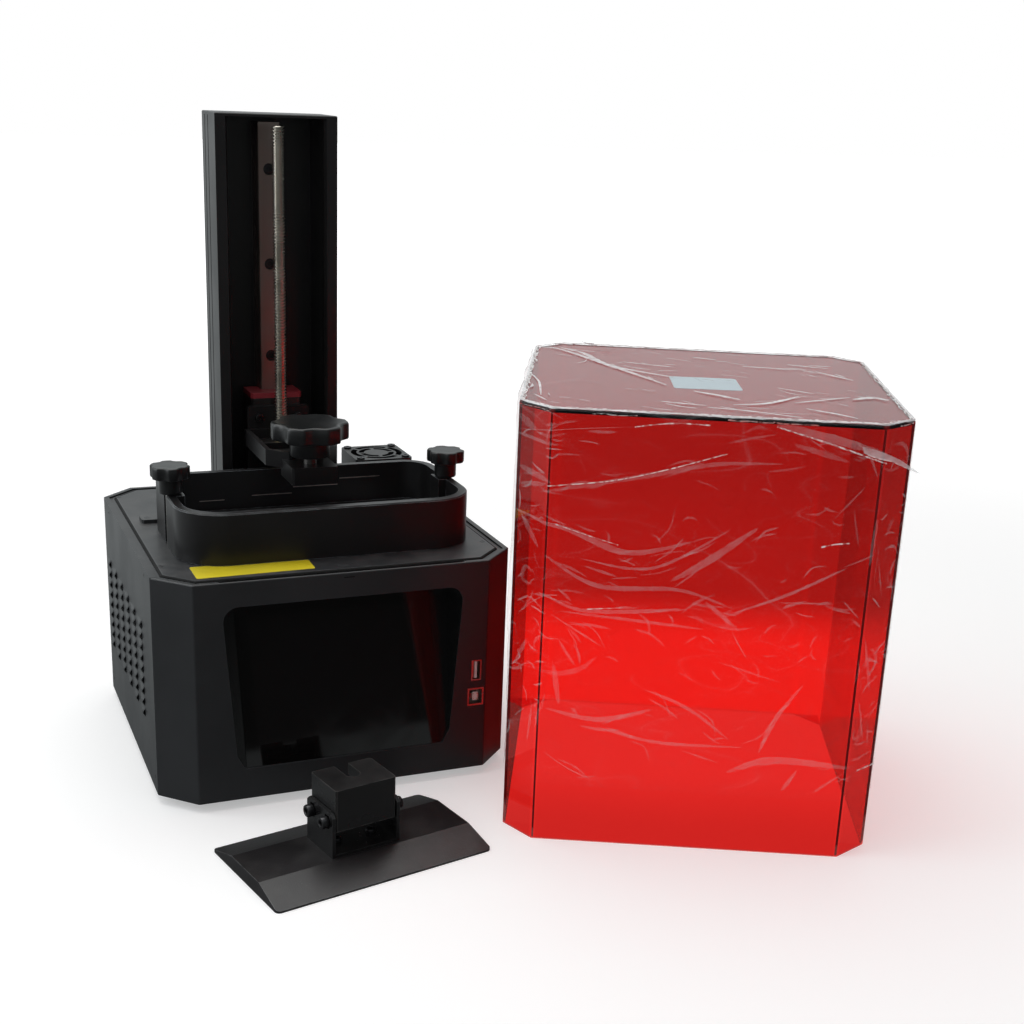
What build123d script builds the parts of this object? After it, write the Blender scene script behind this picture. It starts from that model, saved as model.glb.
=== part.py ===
from build123d import *
from math import cos, pi, radians, sin, sqrt, tan
import os

# A desktop resin printer: base with a tilted touch screen, resin vat, Z column with its carriage,
# and, taken off and standing beside it, the build platform and the tinted cover.
# Millimetres. +X right, +Y back, +Z up. Every piece is drawn in the base's frame, whose origin is the
# middle of the base on the table. The last step moves all of them so that the origin is the middle of
# the whole group's footprint.

# ---- what sets the overall size ----
VAT_W = 183.5
VAT_D = 104.0
VAT_H = 31.4
DECK_SIDE = 18.75      # from the vat's end to the housing's side
DECK_FRONT = 29.5      # from the housing's front to the vat
DECK_BACK = 87.5       # from the vat to the housing's back
BASE_W = VAT_W + 2 * DECK_SIDE
BASE_D = VAT_D + DECK_FRONT + DECK_BACK
RIM_Z = 143.0          # top of the housing and of the deck plate
COL_TOP_Z = 392.0
COVER_H = 255.5

# ---- base housing ----
CORNER = 20.5          # leg of the 45 degree corner cuts
FOOT_H = 6.0
FOOT_R = 9.0
FOOT_IN = 26.0         # from the housing's faces to a foot's middle
RIM_T = 3.2            # width of the rim round the cover's groove
SKIN_T = 1.2           # sheet of the side and rear panels
LIP = 4.5              # drop of the folded lip behind the rim
SEAM = 0.3             # gap between two panels
FIT = 0.2              # gap between pieces that are screwed together
RUN = 0.3              # gap between pieces that move past each other
RIM_ROUND = 1.0
BEND_R = 2.0           # outer radius of the folds beside the front and the back

# ---- deck ----
DECK_INSET = 6.5       # from the housing's face to the deck plate's edge
DECK_T = 3.0
LEDGE_DROP = 1.0       # the cover's seat lies this far below the rim
RING_W = 20.0
RING_T = 3.0
BUILD_Y = -BASE_D / 2 + DECK_FRONT + VAT_D / 2      # middle of the vat, the screen and the clamp
VAT_REAR_Y = BUILD_Y + VAT_D / 2
CORNER_LEG = 12.0

# ---- touch screen ----
POCKET_Z = 25.3
POCKET_TOP = 15.3      # from the recess's upper edge to the rim
POCKET_H = RIM_Z - POCKET_Z - POCKET_TOP
POCKET_SIDE = 48.5     # from the recess's lower corner to the housing's side
POCKET_HALF_LOW = BASE_W / 2 - POCKET_SIDE
POCKET_HALF_MID = POCKET_HALF_LOW + 4.7
POCKET_HALF_HIGH = POCKET_HALF_LOW + 12.0
POCKET_CUT = 8.7       # height of the cut lower corners
POCKET_R = 9.0
POCKET_WALL = 2.0
GLASS_SET = 0.6        # depth of the tilted face behind the front at its lower edge
GLASS_EDGE = 0.6       # from the recess's lower edge to the glass
GLASS_HALF = POCKET_HALF_LOW - 1.0
GLASS_H = POCKET_H - 5.4
GLASS_TILT = 17.0
GLASS_T = 1.8
GLASS_LAP = 2.5        # ledge under the glass's edge
LEDGE_T = 1.6
DISPLAY_T = 5.0

# ---- sockets beside the screen ----
USB_SIDE = 26.9        # from the sockets' middle to the housing's side
USB_X = BASE_W / 2 - USB_SIDE
USB_A_Z, USB_A_W, USB_A_H = 71.7, 6.4, 13.4
USB_B_Z, USB_B_W, USB_B_H = 54.0, 10.6, 11.6
USB_SHELL = 0.6
USB_DEPTH = 14.0

# ---- side louvres ----
LOUVRE_PITCH_Y, LOUVRE_PITCH_Z = 24.6, 7.1
LOUVRE_L, LOUVRE_W, LOUVRE_H, LOUVRE_T = 16.5, 5.4, 1.6, 0.7
LOUVRE_Y, LOUVRE_Z = CORNER + 37.0 - BASE_D / 2, 44.8      # the first louvre's mouth
LOUVRE_BACK, LOUVRE_TOP = 3.0, 41.0    # least distance from the louvres to the panel's rear and top edges
LOUVRE_COLS = int((BASE_D / 2 - CORNER - LOUVRE_BACK - LOUVRE_L - LOUVRE_Y) / LOUVRE_PITCH_Y) + 1
LOUVRE_ROWS = int((RIM_Z - LOUVRE_TOP - LOUVRE_Z) / LOUVRE_PITCH_Z) + 1

# ---- rear panel ----
INLET_X, INLET_Z, INLET_W, INLET_H, INLET_DEPTH = -62.0, 38.0, 27.6, 20.0, 20.0
SWITCH_X, SWITCH_W, SWITCH_H, SWITCH_DEPTH = -28.0, 13.4, 19.4, 14.0
ROCKER_TILT = 12.0
REAR_SLOT_L, REAR_SLOT_H, REAR_SLOT_PITCH, REAR_SLOT_DROP = 46.0, 2.8, 8.0, 30.0
REAR_SLOTS = int((RIM_Z - REAR_SLOT_DROP - INLET_Z - INLET_H - 8.0) / REAR_SLOT_PITCH) + 1

# ---- exposure unit ----
VAT_BORDER_X, VAT_BORDER_Y = 26.75, 13.0       # from the vat's outline to the exposure screen
SCREEN_W, SCREEN_D = VAT_W - 2 * VAT_BORDER_X, VAT_D - 2 * VAT_BORDER_Y
SCREEN_PROUD = 2.7
SCREEN_T = 5.0
UV_FLANGE_W, UV_FLANGE_D = SCREEN_W + 16.0, SCREEN_D + 12.0
UV_FLANGE_T = 3.5
UV_LOW_Z, UV_LOW_W, UV_LOW_D = 34.0, SCREEN_W - 26.0, SCREEN_D - 16.0
UV_WALL = 2.0
UV_LAMPS_X, UV_LAMPS_Y, UV_LAMP_EDGE = 5, 3, 11.5
SINK_H = 20.0
SINK_FINS = 9

# ---- vat ----
VAT_X = 2.2            # the frame stands this far to the right of the screen's middle
VAT_WALL = 5.5
VAT_R_FRONT, VAT_R_REAR = 28.0, 20.0
VAT_FLOOR = 3.0
VAT_RECESS = 3.0       # height of the ring's recess under the floor
VAT_RIM_BREAK = 0.8
FILM_T = 0.2
RING_GAP = 2.0         # from the exposure screen to the film ring
RING_BAND_X, RING_BAND_Y = 11.0, 5.5
VAT_KNOB_Y = BUILD_Y + 2.0
VAT_KNOB_IN = 3.55     # from the frame's end to a hand screw's axis
VAT_KNOB_X = VAT_W / 2 - VAT_KNOB_IN
VAT_STUD_R = 3.0
VAT_SLOT_R = 3.7
VAT_PAD_W, VAT_PAD_D = 15.0, 5.2
VAT_NECK_R, VAT_NECK_H = 7.0, 9.5
VAT_HEAD_R, VAT_HEAD_H = 12.0, 8.0
STOP_Y, STOP_W, STOP_L, STOP_T = VAT_REAR_Y - 3.0, 7.0, 12.0, 2.4
STOP_TONGUE = 4.0

# ---- column ----
COL_W, COL_D = 78.0, 41.0
COL_BEHIND = 23.5      # from the column to the housing's back
COL_FRONT_Y = BASE_D / 2 - COL_BEHIND - COL_D
COL_SIDE, COL_BACK = 8.0, 4.0
COL_CAP_T = 2.0
COL_GROOVE_W, COL_GROOVE_D = 1.6, 1.2
COL_LIP = 1.4          # bevel on the inner front edges

# ---- guide rail and block ----
RAIL_W, RAIL_H = 15.0, 15.0
RAIL_TOP_Z, RAIL_LOW_Z = COL_TOP_Z - 3.5, RIM_Z + 7.5
RAIL_LENGTH = RAIL_TOP_Z - RAIL_LOW_Z
RAIL_PITCH, RAIL_END = 60.0, 20.0      # screw spacing, and least distance from a screw to the rail's end
RAIL_HOLES = int((RAIL_LENGTH - 2 * RAIL_END) / RAIL_PITCH) + 1
RAIL_HEAD_R, RAIL_HEAD_DEPTH = 3.75, 5.3
BLOCK_W, BLOCK_H, BLOCK_GAP = 34.0, 23.7, 4.3
BLOCK_LOW_Z, BLOCK_L = RIM_Z + 18.5, 52.0
BLOCK_BREAK = 1.5
SEAL_T = 3.4

# ---- carriage ----
CARR_W, CARR_T = 41.4, 4.0
CARR_LOW_Z, CARR_TOP_Z = BLOCK_LOW_Z - 1.5, BLOCK_LOW_Z + 47.5
CARR_HEAD_R, CARR_HEAD_H = 2.8, 2.8
ARM_W, ARM_LOW_Z, ARM_H = 46.0, BLOCK_LOW_Z + 22.5, 10.3
ARM_WALL, ARM_FLOOR = 3.0, 4.0
ARM_FRONT_Y, ARM_CUT = BUILD_Y + 21.0, 12.0
ARM_RIB = 32.5         # from the carriage plate to the arm's cross rib
HEAD_W, HEAD_FRONT_Y, HEAD_BACK_Y = 28.8, BUILD_Y - 13.0, BUILD_Y + 16.0
HEAD_LOW_Z, HEAD_TOP_Z = ARM_LOW_Z - 5.5, ARM_LOW_Z + 5.4

# ---- lead screw and motor ----
SCREW_Y, SCREW_R, SCREW_TOP_Z = COL_FRONT_Y - 2.0, 4.0, COL_TOP_Z - 5.0
NUT_FLANGE_R, NUT_FLANGE_T, NUT_BODY_R, NUT_BODY_H = 11.0, 3.5, 5.1, 14.0
SHAFT_PLAY = 0.05
MOTOR_W, MOTOR_H, MOTOR_CUT = 42.3, 40.0, 4.5
MOTOR_BOSS_R, MOTOR_BOSS_H, MOTOR_BORE_DEPTH = 11.0, 2.0, 30.0

# ---- clamp knob ----
KNOB_R, KNOB_H, KNOB_LOBES = 24.0, 10.8, 6
KNOB_TURN = 24.3       # where the first scallop stands
KNOB_HUB_R, KNOB_HUB_H = 12.4, 10.8
KNOB_GAP = 4.6         # steel stud showing between the hub and the arm
KNOB_SOCKET = 8.0      # the studs reach this far into their knobs
STUD_R = 4.0

# ---- fan on the deck ----
FAN_W, FAN_H = 40.0, 28.0
FAN_ASIDE, FAN_BEHIND = 12.5, 29.5     # from the fan to the column and to the housing's back
FAN_X, FAN_Y = COL_W / 2 + FAN_ASIDE + FAN_W / 2, BASE_D / 2 - FAN_BEHIND - FAN_W / 2
FAN_BORE_R, FAN_HUB_R, FAN_BLADES = 18.5, 9.0, 7
GUARD_T = 2.0
GUARD_DISC_R, GUARD_MID_R, GUARD_BAND = 8.5, 13.0, 1.6

# ---- cover ----
COVER_W, COVER_D = BASE_W - 2 * (RIM_T + RUN), BASE_D - 2 * (RIM_T + RUN)      # fits inside the rim
COVER_CORNER = CORNER - 2.5
COVER_T = 2.5
COVER_AT = (BASE_W / 2 + COVER_W / 2 - 4.9, -BASE_D / 2 - COVER_D / 2 + 74.7)
COVER_TURN = -25.9
WRAP_GAP, WRAP_T, WRAP_LOW_Z = 0.3, 0.3, 36.0

# ---- build platform ----
PLAT_W, PLAT_D, PLAT_EDGE, PLAT_T = SCREEN_W + 6.0, SCREEN_D + 3.0, 1.2, 7.5
PLAT_BAND = 34.0       # width of the flat middle band
PLAT_END = 0.8         # run of the bevel at the two ends
PLAT_AT, PLAT_TURN = (-16.8, -BASE_D / 2 - PLAT_D / 2 - 31.0), 12.4
BLOCK2_W, BLOCK2_D, BLOCK2_LOW, BLOCK2_TOP = HEAD_W + 9.4, 29.0, 23.0, 48.0
BLOCK2_SHELL = 7.0     # thickness of the block's top
BRKT_W, BRKT_D, BRKT_T, BRKT_H = BLOCK2_W + 4.8, 30.0, 2.0, 27.0
BRKT_HEAD_R, BRKT_HEAD_H = 3.0, 2.2
SLOT_W = 2 * STUD_R + 0.8
SLOT_Y = 1.5           # where the stud comes to rest in the slot
LEVEL_SCREW_R, LEVEL_HEAD_R, LEVEL_HEAD_H = 2.0, 3.6, 4.0
LEVEL_DY = 8.5
LEVEL_Z, LEVEL_PLAY = 28.0, 0.5

# ---- electronics ----
BOARD_T = 1.6
BOARD_IN, SUPPLY_IN, INSIDE_BACK = 14.5, 12.5, 32.5     # from the housing's sides and its back
BOARD_L, BOARD_D = 84.0, 62.0
SUPPLY_L, SUPPLY_D, SUPPLY_H = 84.0, 60.0, 38.0

TRAY_T, TRAY_FLANGE = 1.5, 12.0
DECK_Z = RIM_Z - DECK_T
LEDGE_Z = RIM_Z - LEDGE_DROP
TRAY_TOP = FOOT_H + TRAY_T


def box(x0, x1, y0, y1, z0, z1):
    """A block between two corners."""
    return Pos((x0 + x1) / 2, (y0 + y1) / 2, (z0 + z1) / 2) * Box(x1 - x0, y1 - y0, z1 - z0)


def rod(x, y, z0, z1, r):
    """An upright cylinder."""
    return Pos(x, y, (z0 + z1) / 2) * Cylinder(r, z1 - z0)


def prism(face, z0, z1):
    """A plan outline raised between two heights."""
    return Pos(0, 0, z0) * extrude(face, z1 - z0)


def octagon(inset=0.0, w=BASE_W, d=BASE_D, leg=CORNER):
    """A rectangle with its corners cut at 45 degrees, drawn in by an even margin."""
    hw, hd = w / 2 - inset, d / 2 - inset
    c = leg - inset * (2 - sqrt(2))
    return Polygon((-hw, -hd + c), (-hw + c, -hd), (hw - c, -hd), (hw, -hd + c),
                   (hw, hd - c), (hw - c, hd), (-hw + c, hd), (-hw, hd - c), align=None)


def rounded(w, d, r_front, r_rear=None):
    """A rectangle with one corner radius in front and one behind."""
    face = Rectangle(w, d)
    low = face.vertices().group_by(Axis.Y)[0]
    face = fillet(low, r_front)
    high = face.vertices().group_by(Axis.Y)[-1]
    return fillet(high, r_front if r_rear is None else r_rear)


def star(radius, lobes, height, turn=0.0):
    """A lobed hand knob's head, standing on z = 0, with a scallop at the angle of turn."""
    head = Cylinder(radius, height, align=(Align.CENTER, Align.CENTER, Align.MIN))
    cutter_r = 2.7 * radius / lobes
    reach = 0.87 * radius + cutter_r
    for i in range(lobes):
        spot = Rot(0, 0, turn + 360 / lobes * i) * Pos(reach, 0, height / 2)
        head -= spot * Cylinder(cutter_r, height + 1)
    return fillet(head.edges().filter_by(Axis.Z), radius / lobes)


# ------------------------------------------------------------------ base housing

def folded(face, radius):
    """The same outline with its folds rounded beside the front and the back."""
    return fillet(face.vertices().group_by(Axis.Y)[0] + face.vertices().group_by(Axis.Y)[-1], radius)


def panel_band(thick, z0=FOOT_H, z1=RIM_Z):
    """The housing's outline as a standing wall of one thickness."""
    return prism(folded(octagon(), BEND_R) - folded(octagon(thick), BEND_R / 2), z0, z1)


def fold(thick, keep):
    """A sheet panel with its top folded into the rim and a lip, and its bottom turned in."""
    skin = panel_band(thick) + panel_band(RIM_T, RIM_Z - thick, RIM_Z)
    skin += panel_band(RIM_T, FOOT_H, FOOT_H + thick)
    lip = octagon(RIM_T - thick) - octagon(RIM_T)
    skin += prism(lip, RIM_Z - LIP, RIM_Z)
    return skin & keep


SIDE_REACH = BASE_D / 2 - CORNER
BIG = 400.0
TILT_PLANE = Plane(origin=(0, -BASE_D / 2 + GLASS_SET, POCKET_Z), x_dir=(1, 0, 0),
                   z_dir=(0, -cos(radians(GLASS_TILT)), sin(radians(GLASS_TILT))))


def pocket_outline(grow=0.0):
    """The screen recess as it shows on the front: cut corners below, rounded corners above."""
    low, mid, high = POCKET_HALF_LOW + grow, POCKET_HALF_MID + grow, POCKET_HALF_HIGH + grow
    face = Polygon((-low, -grow), (low, -grow), (mid, POCKET_CUT), (high, POCKET_H + grow),
                   (-high, POCKET_H + grow), (-mid, POCKET_CUT), align=None)
    return fillet(face.vertices().group_by(Axis.Y)[-1], POCKET_R + grow)


def recess(back, grow=0.0, front=-BASE_D / 2):
    """The outline driven straight back as far as a plane parallel to the tilted face."""
    plane = Plane(origin=(0, front, POCKET_Z), x_dir=(1, 0, 0), z_dir=(0, -1, 0))
    block = extrude(plane * pocket_outline(grow), -BASE_D / 3)
    ahead = extrude(TILT_PLANE * Pos(0, 0, -back) * Rectangle(BIG, BIG), BIG)
    return block & ahead


def tilted_slab(lap, depth, start=0.0):
    """A slab parallel to the tilted face, as wide as the glass and lap more on every side."""
    centre = Pos(0, GLASS_H / 2 + GLASS_EDGE, -start - depth)
    return extrude(TILT_PLANE * centre * Rectangle(2 * (GLASS_HALF + lap), GLASS_H + 2 * lap), depth)


def front_fascia():
    """The front and its two corner faces in one sheet, with the recess that holds the glass."""
    keep = box(-BIG, BIG, -BIG, -SIDE_REACH - SEAM / 2, 0, BIG)
    wall = panel_band(RIM_T) & keep
    edge = wall.edges().filter_by_position(Axis.Z, RIM_Z - 0.01, RIM_Z + 0.01)
    wall = fillet([e for e in edge if on_outline(e)], RIM_ROUND)
    wall += recess(GLASS_T + LEDGE_T, POCKET_WALL)
    wall -= recess(0.0, front=-BASE_D / 2 - 1)
    wall -= tilted_slab(FIT, GLASS_T + 1, -1.0)
    wall -= tilted_slab(-GLASS_LAP, LEDGE_T + 2, GLASS_T - 1)
    for z, w, h in ((USB_A_Z, USB_A_W, USB_A_H), (USB_B_Z, USB_B_W, USB_B_H)):
        wall -= box(USB_X - w / 2 - FIT, USB_X + w / 2 + FIT, -BIG, 0, z - h / 2 - FIT, z + h / 2 + FIT)
    return wall


def on_outline(edge):
    """Whether an edge lies on the housing's outermost outline."""
    reach = BASE_W / 2 + BASE_D / 2 - CORNER
    spread = [max(abs(v.X) / (BASE_W / 2), abs(v.Y) / (BASE_D / 2), (abs(v.X) + abs(v.Y)) / reach)
              for v in edge.vertices()]
    return min(spread) > 0.999 and (edge @ 0.5 - edge @ 0.0).length > 1.0


def hood(width, height, length, sink, fall_to):
    """A louvre's hood, its mouth at y = 0 facing -Y: it narrows and falls towards its tail."""
    fall = Polygon((-sink, 0), (height, 0), (fall_to, length), (-sink, length), align=None)
    narrow = Polygon((0, -width / 2), (length, -width / 6), (length, width / 6), (0, width / 2), align=None)
    side = Plane(origin=(0, 0, 0), x_dir=(-1, 0, 0), z_dir=(0, 0, -1)) * fall
    plan = Plane(origin=(0, 0, 0), x_dir=(0, 1, 0), z_dir=(1, 0, 0)) * narrow
    return extrude(side, width, both=True) & extrude(plan, length, both=True)


def side_panel():
    """The left panel, its louvres open towards the front."""
    keep = box(-BIG, 0, -SIDE_REACH + SEAM / 2, SIDE_REACH - SEAM / 2, 0, BIG)
    sheet = fold(SKIN_T, keep)
    face = -BASE_W / 2
    outside = hood(LOUVRE_W, LOUVRE_H, LOUVRE_L, SKIN_T / 2, 0)
    inside = hood(LOUVRE_W - 2 * LOUVRE_T, LOUVRE_H - LOUVRE_T, LOUVRE_L * 0.8, SKIN_T + 1, -SKIN_T - 0.5)
    inside = Pos(0, -0.01, 0) * inside
    spots = [Pos(face, LOUVRE_Y + i * LOUVRE_PITCH_Y, LOUVRE_Z + j * LOUVRE_PITCH_Z)
             for i in range(LOUVRE_COLS) for j in range(LOUVRE_ROWS)]
    sheet += [spot * outside for spot in spots]
    sheet -= [spot * inside for spot in spots]
    return sheet


def rear_panel():
    keep = box(-BIG, BIG, SIDE_REACH + SEAM / 2, BIG, 0, BIG)
    sheet = fold(SKIN_T, keep)
    sheet -= box(INLET_X - INLET_W / 2 - FIT, INLET_X + INLET_W / 2 + FIT, 0, BIG,
                 INLET_Z - INLET_H / 2 - FIT, INLET_Z + INLET_H / 2 + FIT)
    sheet -= box(SWITCH_X - SWITCH_W / 2 - FIT, SWITCH_X + SWITCH_W / 2 + FIT, 0, BIG,
                 INLET_Z - SWITCH_H / 2 - FIT, INLET_Z + SWITCH_H / 2 + FIT)
    for i in range(REAR_SLOTS):
        z = RIM_Z - REAR_SLOT_DROP - i * REAR_SLOT_PITCH
        for x in (-REAR_SLOT_L * 0.62, REAR_SLOT_L * 0.62):
            sheet -= Pos(x, BASE_D / 2, z) * Box(REAR_SLOT_L, 10, REAR_SLOT_H)
    return sheet


def bottom_tray():
    outer = octagon(RIM_T + FIT)
    tray = prism(outer, FOOT_H, FOOT_H + TRAY_FLANGE) - prism(octagon(RIM_T + FIT + TRAY_T), TRAY_TOP, BIG)
    half = UV_LOW_D / 2 - 5.0
    for i in range(7):
        x = (i - 3) * 12.0
        tray -= box(x - 2, x + 2, BUILD_Y - half, BUILD_Y + half, 0, TRAY_TOP + 1)
    return tray


def feet():
    return [rod(sx * (BASE_W / 2 - FOOT_IN), sy * (BASE_D / 2 - FOOT_IN), 0, FOOT_H, FOOT_R)
            for sx in (-1, 1) for sy in (-1, 1)]


def chassis_frame():
    """The ring that carries the deck and the cover's seat, on four angle legs."""
    outer = octagon(RIM_T + FIT)
    hollow = octagon(RIM_T + RING_W)
    ring = prism(outer - hollow, DECK_Z - RING_T, DECK_Z)
    ring += prism(outer - octagon(DECK_INSET - FIT), DECK_Z - RING_T, LEDGE_Z)
    reach_x, reach_y = BASE_W / 2 - CORNER, BASE_D / 2 - CORNER
    leg = box(-CORNER_LEG, 0, -2, 0, TRAY_TOP, DECK_Z - RING_T)
    leg += box(-2, 0, -CORNER_LEG, 0, TRAY_TOP, DECK_Z - RING_T)
    for sx in (-1, 1):
        for sy in (-1, 1):
            corner = leg if sx > 0 else mirror(leg, Plane.YZ)
            corner = corner if sy > 0 else mirror(corner, Plane.XZ)
            ring += Pos(sx * (reach_x + 2), sy * (reach_y + 2), 0) * corner
    return ring


def deck_plate():
    plate = prism(octagon(DECK_INSET), DECK_Z, RIM_Z)
    plate = chamfer(plate.faces().sort_by(Axis.Z)[-1].edges(), 0.6)
    plate -= Pos(0, BUILD_Y, 0) * prism(Rectangle(SCREEN_W + 2 * FIT, SCREEN_D + 2 * FIT), 0, BIG)
    plate -= rod(0, SCREW_Y, 0, BIG, MOTOR_BOSS_R + FIT)
    plate -= rod(FAN_X, FAN_Y, 0, BIG, FAN_BORE_R)
    for sx in (-1, 1):
        plate -= rod(VAT_X + sx * VAT_KNOB_X, VAT_KNOB_Y, 0, BIG, VAT_STUD_R + RUN)
    return plate


def touch_glass():
    return tilted_slab(0.0, GLASS_T)


def display_module():
    """The panel behind the glass, reaching through the ledge's window."""
    frame = tilted_slab(-GLASS_LAP - 2 * FIT, DISPLAY_T, GLASS_T)
    return chamfer(frame.edges().filter_by(Axis.X).sort_by(Axis.Y)[-2:], 1.0)


def usb_shell(w, h):
    """A socket's sheet shell, open to the front, with its tongue."""
    shell = Box(w, USB_DEPTH, h) - Pos(0, -1.2, 0) * Box(w - 2 * USB_SHELL, USB_DEPTH, h - 2 * USB_SHELL)
    return shell


def usb_a_port():
    port = usb_shell(USB_A_W, USB_A_H) + Pos(-1.2, 0.4, 0) * Box(1.6, USB_DEPTH - 3, USB_A_H - 2.4)
    return Pos(USB_X, -BASE_D / 2 + USB_DEPTH / 2 + 0.2, USB_A_Z) * port


def usb_b_port():
    port = usb_shell(USB_B_W, USB_B_H) + Pos(0, 0.4, 0) * Box(5.0, USB_DEPTH - 3, 3.2)
    return Pos(USB_X, -BASE_D / 2 + USB_DEPTH / 2 + 0.2, USB_B_Z) * port


def usb_board():
    back = -BASE_D / 2 + USB_DEPTH + 0.2
    return box(USB_X - 7.5, USB_X + 9, back, back + BOARD_T, USB_B_Z - 12, USB_A_Z + 14)


def main_board():
    """The control board on four hexagonal standoffs, with its processor, connector and two capacitors."""
    x1, y1 = BASE_W / 2 - BOARD_IN, BASE_D / 2 - INSIDE_BACK
    x0, y0 = x1 - BOARD_L, y1 - BOARD_D
    z = TRAY_TOP + 7.0
    board = box(x0, x1, y0, y1, z, z + BOARD_T)
    for x in (x0 + 5, x1 - 5):
        for y in (y0 + 5, y1 - 5):
            board += Pos(x, y, TRAY_TOP) * extrude(RegularPolygon(3.2, 6), z - TRAY_TOP)
    board += box(x0 + 10, x0 + 34, y0 + 14, y0 + 38, z, z + 3.0)
    board += box(x1 - 30, x1 - 6, y1 - 16, y1 - 4, z, z + 11.0)
    for i in range(2):
        board += rod(x1 - 12 - 11 * i, y0 + 10, z, z + 13.0, 4.0)
    return board


def power_supply():
    x0, y1 = -BASE_W / 2 + SUPPLY_IN, BASE_D / 2 - INSIDE_BACK
    x1, y0 = x0 + SUPPLY_L, y1 - SUPPLY_D
    case = box(x0, x1, y0, y1, TRAY_TOP, TRAY_TOP + SUPPLY_H)
    for i in range(6):
        x = x0 + 14 + i * 11
        case -= box(x, x + 4, y0 + 12, y1 - 12, TRAY_TOP + SUPPLY_H - 1.2, BIG)
    return chamfer(case.edges().filter_by(Axis.X).sort_by(Axis.Z)[-2:], 1.0)


def power_inlet():
    """A mains inlet with its flange on the rear panel and three flat pins inside."""
    face = BASE_D / 2
    body = box(INLET_X - INLET_W / 2, INLET_X + INLET_W / 2, face - INLET_DEPTH, face,
               INLET_Z - INLET_H / 2, INLET_Z + INLET_H / 2)
    flange = Pos(INLET_X, face, INLET_Z) * Rot(-90, 0, 0) * extrude(
        fillet(Rectangle(INLET_W + 5, INLET_H + 5).vertices(), 3.0), 2.0)
    body += flange
    hole = Pos(INLET_X, face + 2, INLET_Z) * Rot(90, 0, 0) * extrude(
        chamfer(Rectangle(INLET_W - 4, INLET_H - 4).vertices().group_by(Axis.Y)[0], 4.0), 16.0)
    body -= hole
    for dx, dz in ((-7.0, -1.5), (0.0, 2.5), (7.0, -1.5)):
        body += box(INLET_X + dx - 1, INLET_X + dx + 1, face - 14.5, face - 4,
                    INLET_Z + dz - 2, INLET_Z + dz + 2)
    return body


def switch_frame():
    face = BASE_D / 2
    body = box(SWITCH_X - SWITCH_W / 2, SWITCH_X + SWITCH_W / 2, face - SWITCH_DEPTH, face,
               INLET_Z - SWITCH_H / 2, INLET_Z + SWITCH_H / 2)
    body += box(SWITCH_X - SWITCH_W / 2 - 1.5, SWITCH_X + SWITCH_W / 2 + 1.5, face, face + 1.6,
                INLET_Z - SWITCH_H / 2 - 1.5, INLET_Z + SWITCH_H / 2 + 1.5)
    body -= box(SWITCH_X - SWITCH_W / 2 + 1.2, SWITCH_X + SWITCH_W / 2 - 1.2, face - SWITCH_DEPTH + 1.5,
                BIG, INLET_Z - SWITCH_H / 2 + 1.2, INLET_Z + SWITCH_H / 2 - 1.2)
    return body


ROCKER_Y = BASE_D / 2 - 3.0


def switch_rocker():
    """The rocker, resting with its lower half pressed in, turning about its long middle axis."""
    half_w, half_h = SWITCH_W / 2 - 1.2 - RUN, SWITCH_H / 2 - 1.2 - 3 * RUN
    lift = half_h * tan(radians(ROCKER_TILT))
    profile = Polygon((-3.0, -2.2), (3.0, -2.2), (half_h - 1.0, 2.0), (half_h - 1.0, 2.4 + lift),
                      (0, 2.6), (-half_h + 1.0, 2.4 + lift), (-half_h + 1.0, 2.0), align=None)
    plane = Plane(origin=(SWITCH_X, ROCKER_Y, INLET_Z), x_dir=(0, 0, 1), z_dir=(1, 0, 0))
    body = extrude(plane * profile, half_w, both=True)
    return Rotation(0, 0, 0) * body.rotate(Axis((SWITCH_X, ROCKER_Y, INLET_Z), (1, 0, 0)), ROCKER_TILT)


# ------------------------------------------------------------------ exposure unit

SCREEN_TOP = RIM_Z + SCREEN_PROUD
UV_TOP = DECK_Z
UV_SEAT = SCREEN_TOP - SCREEN_T - SCREEN_PROUD + 0.0


def exposure_screen():
    return prism(Pos(0, BUILD_Y) * Rectangle(SCREEN_W, SCREEN_D), UV_SEAT, SCREEN_TOP)


def uv_housing():
    """The light box: a flange that carries the screen, over a tapered reflector."""
    at = Pos(0, BUILD_Y)
    flange = prism(at * Rectangle(UV_FLANGE_W, UV_FLANGE_D), UV_TOP - UV_FLANGE_T, UV_TOP)
    under = UV_TOP - UV_FLANGE_T

    def flare(low, top):
        return Polygon((-low / 2, UV_LOW_Z), (low / 2, UV_LOW_Z), (top / 2, under), (-top / 2, under),
                       align=None)

    def taper(inset):
        across = Plane(origin=(0, BUILD_Y, 0), x_dir=(1, 0, 0), z_dir=(0, -1, 0))
        along = Plane(origin=(0, BUILD_Y, 0), x_dir=(0, 1, 0), z_dir=(1, 0, 0))
        return (extrude(across * flare(UV_LOW_W - 2 * inset, SCREEN_W - 2 * inset), SCREEN_D, both=True)
                & extrude(along * flare(UV_LOW_D - 2 * inset, SCREEN_D - 2 * inset), SCREEN_W, both=True))
    housing = flange + taper(0)
    housing -= taper(UV_WALL)
    housing -= prism(at * Rectangle(SCREEN_W - 8, SCREEN_D - 8), under - 1, BIG)
    housing -= prism(at * Rectangle(SCREEN_W + 2 * FIT, SCREEN_D + 2 * FIT), UV_SEAT, BIG)
    return housing


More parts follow.
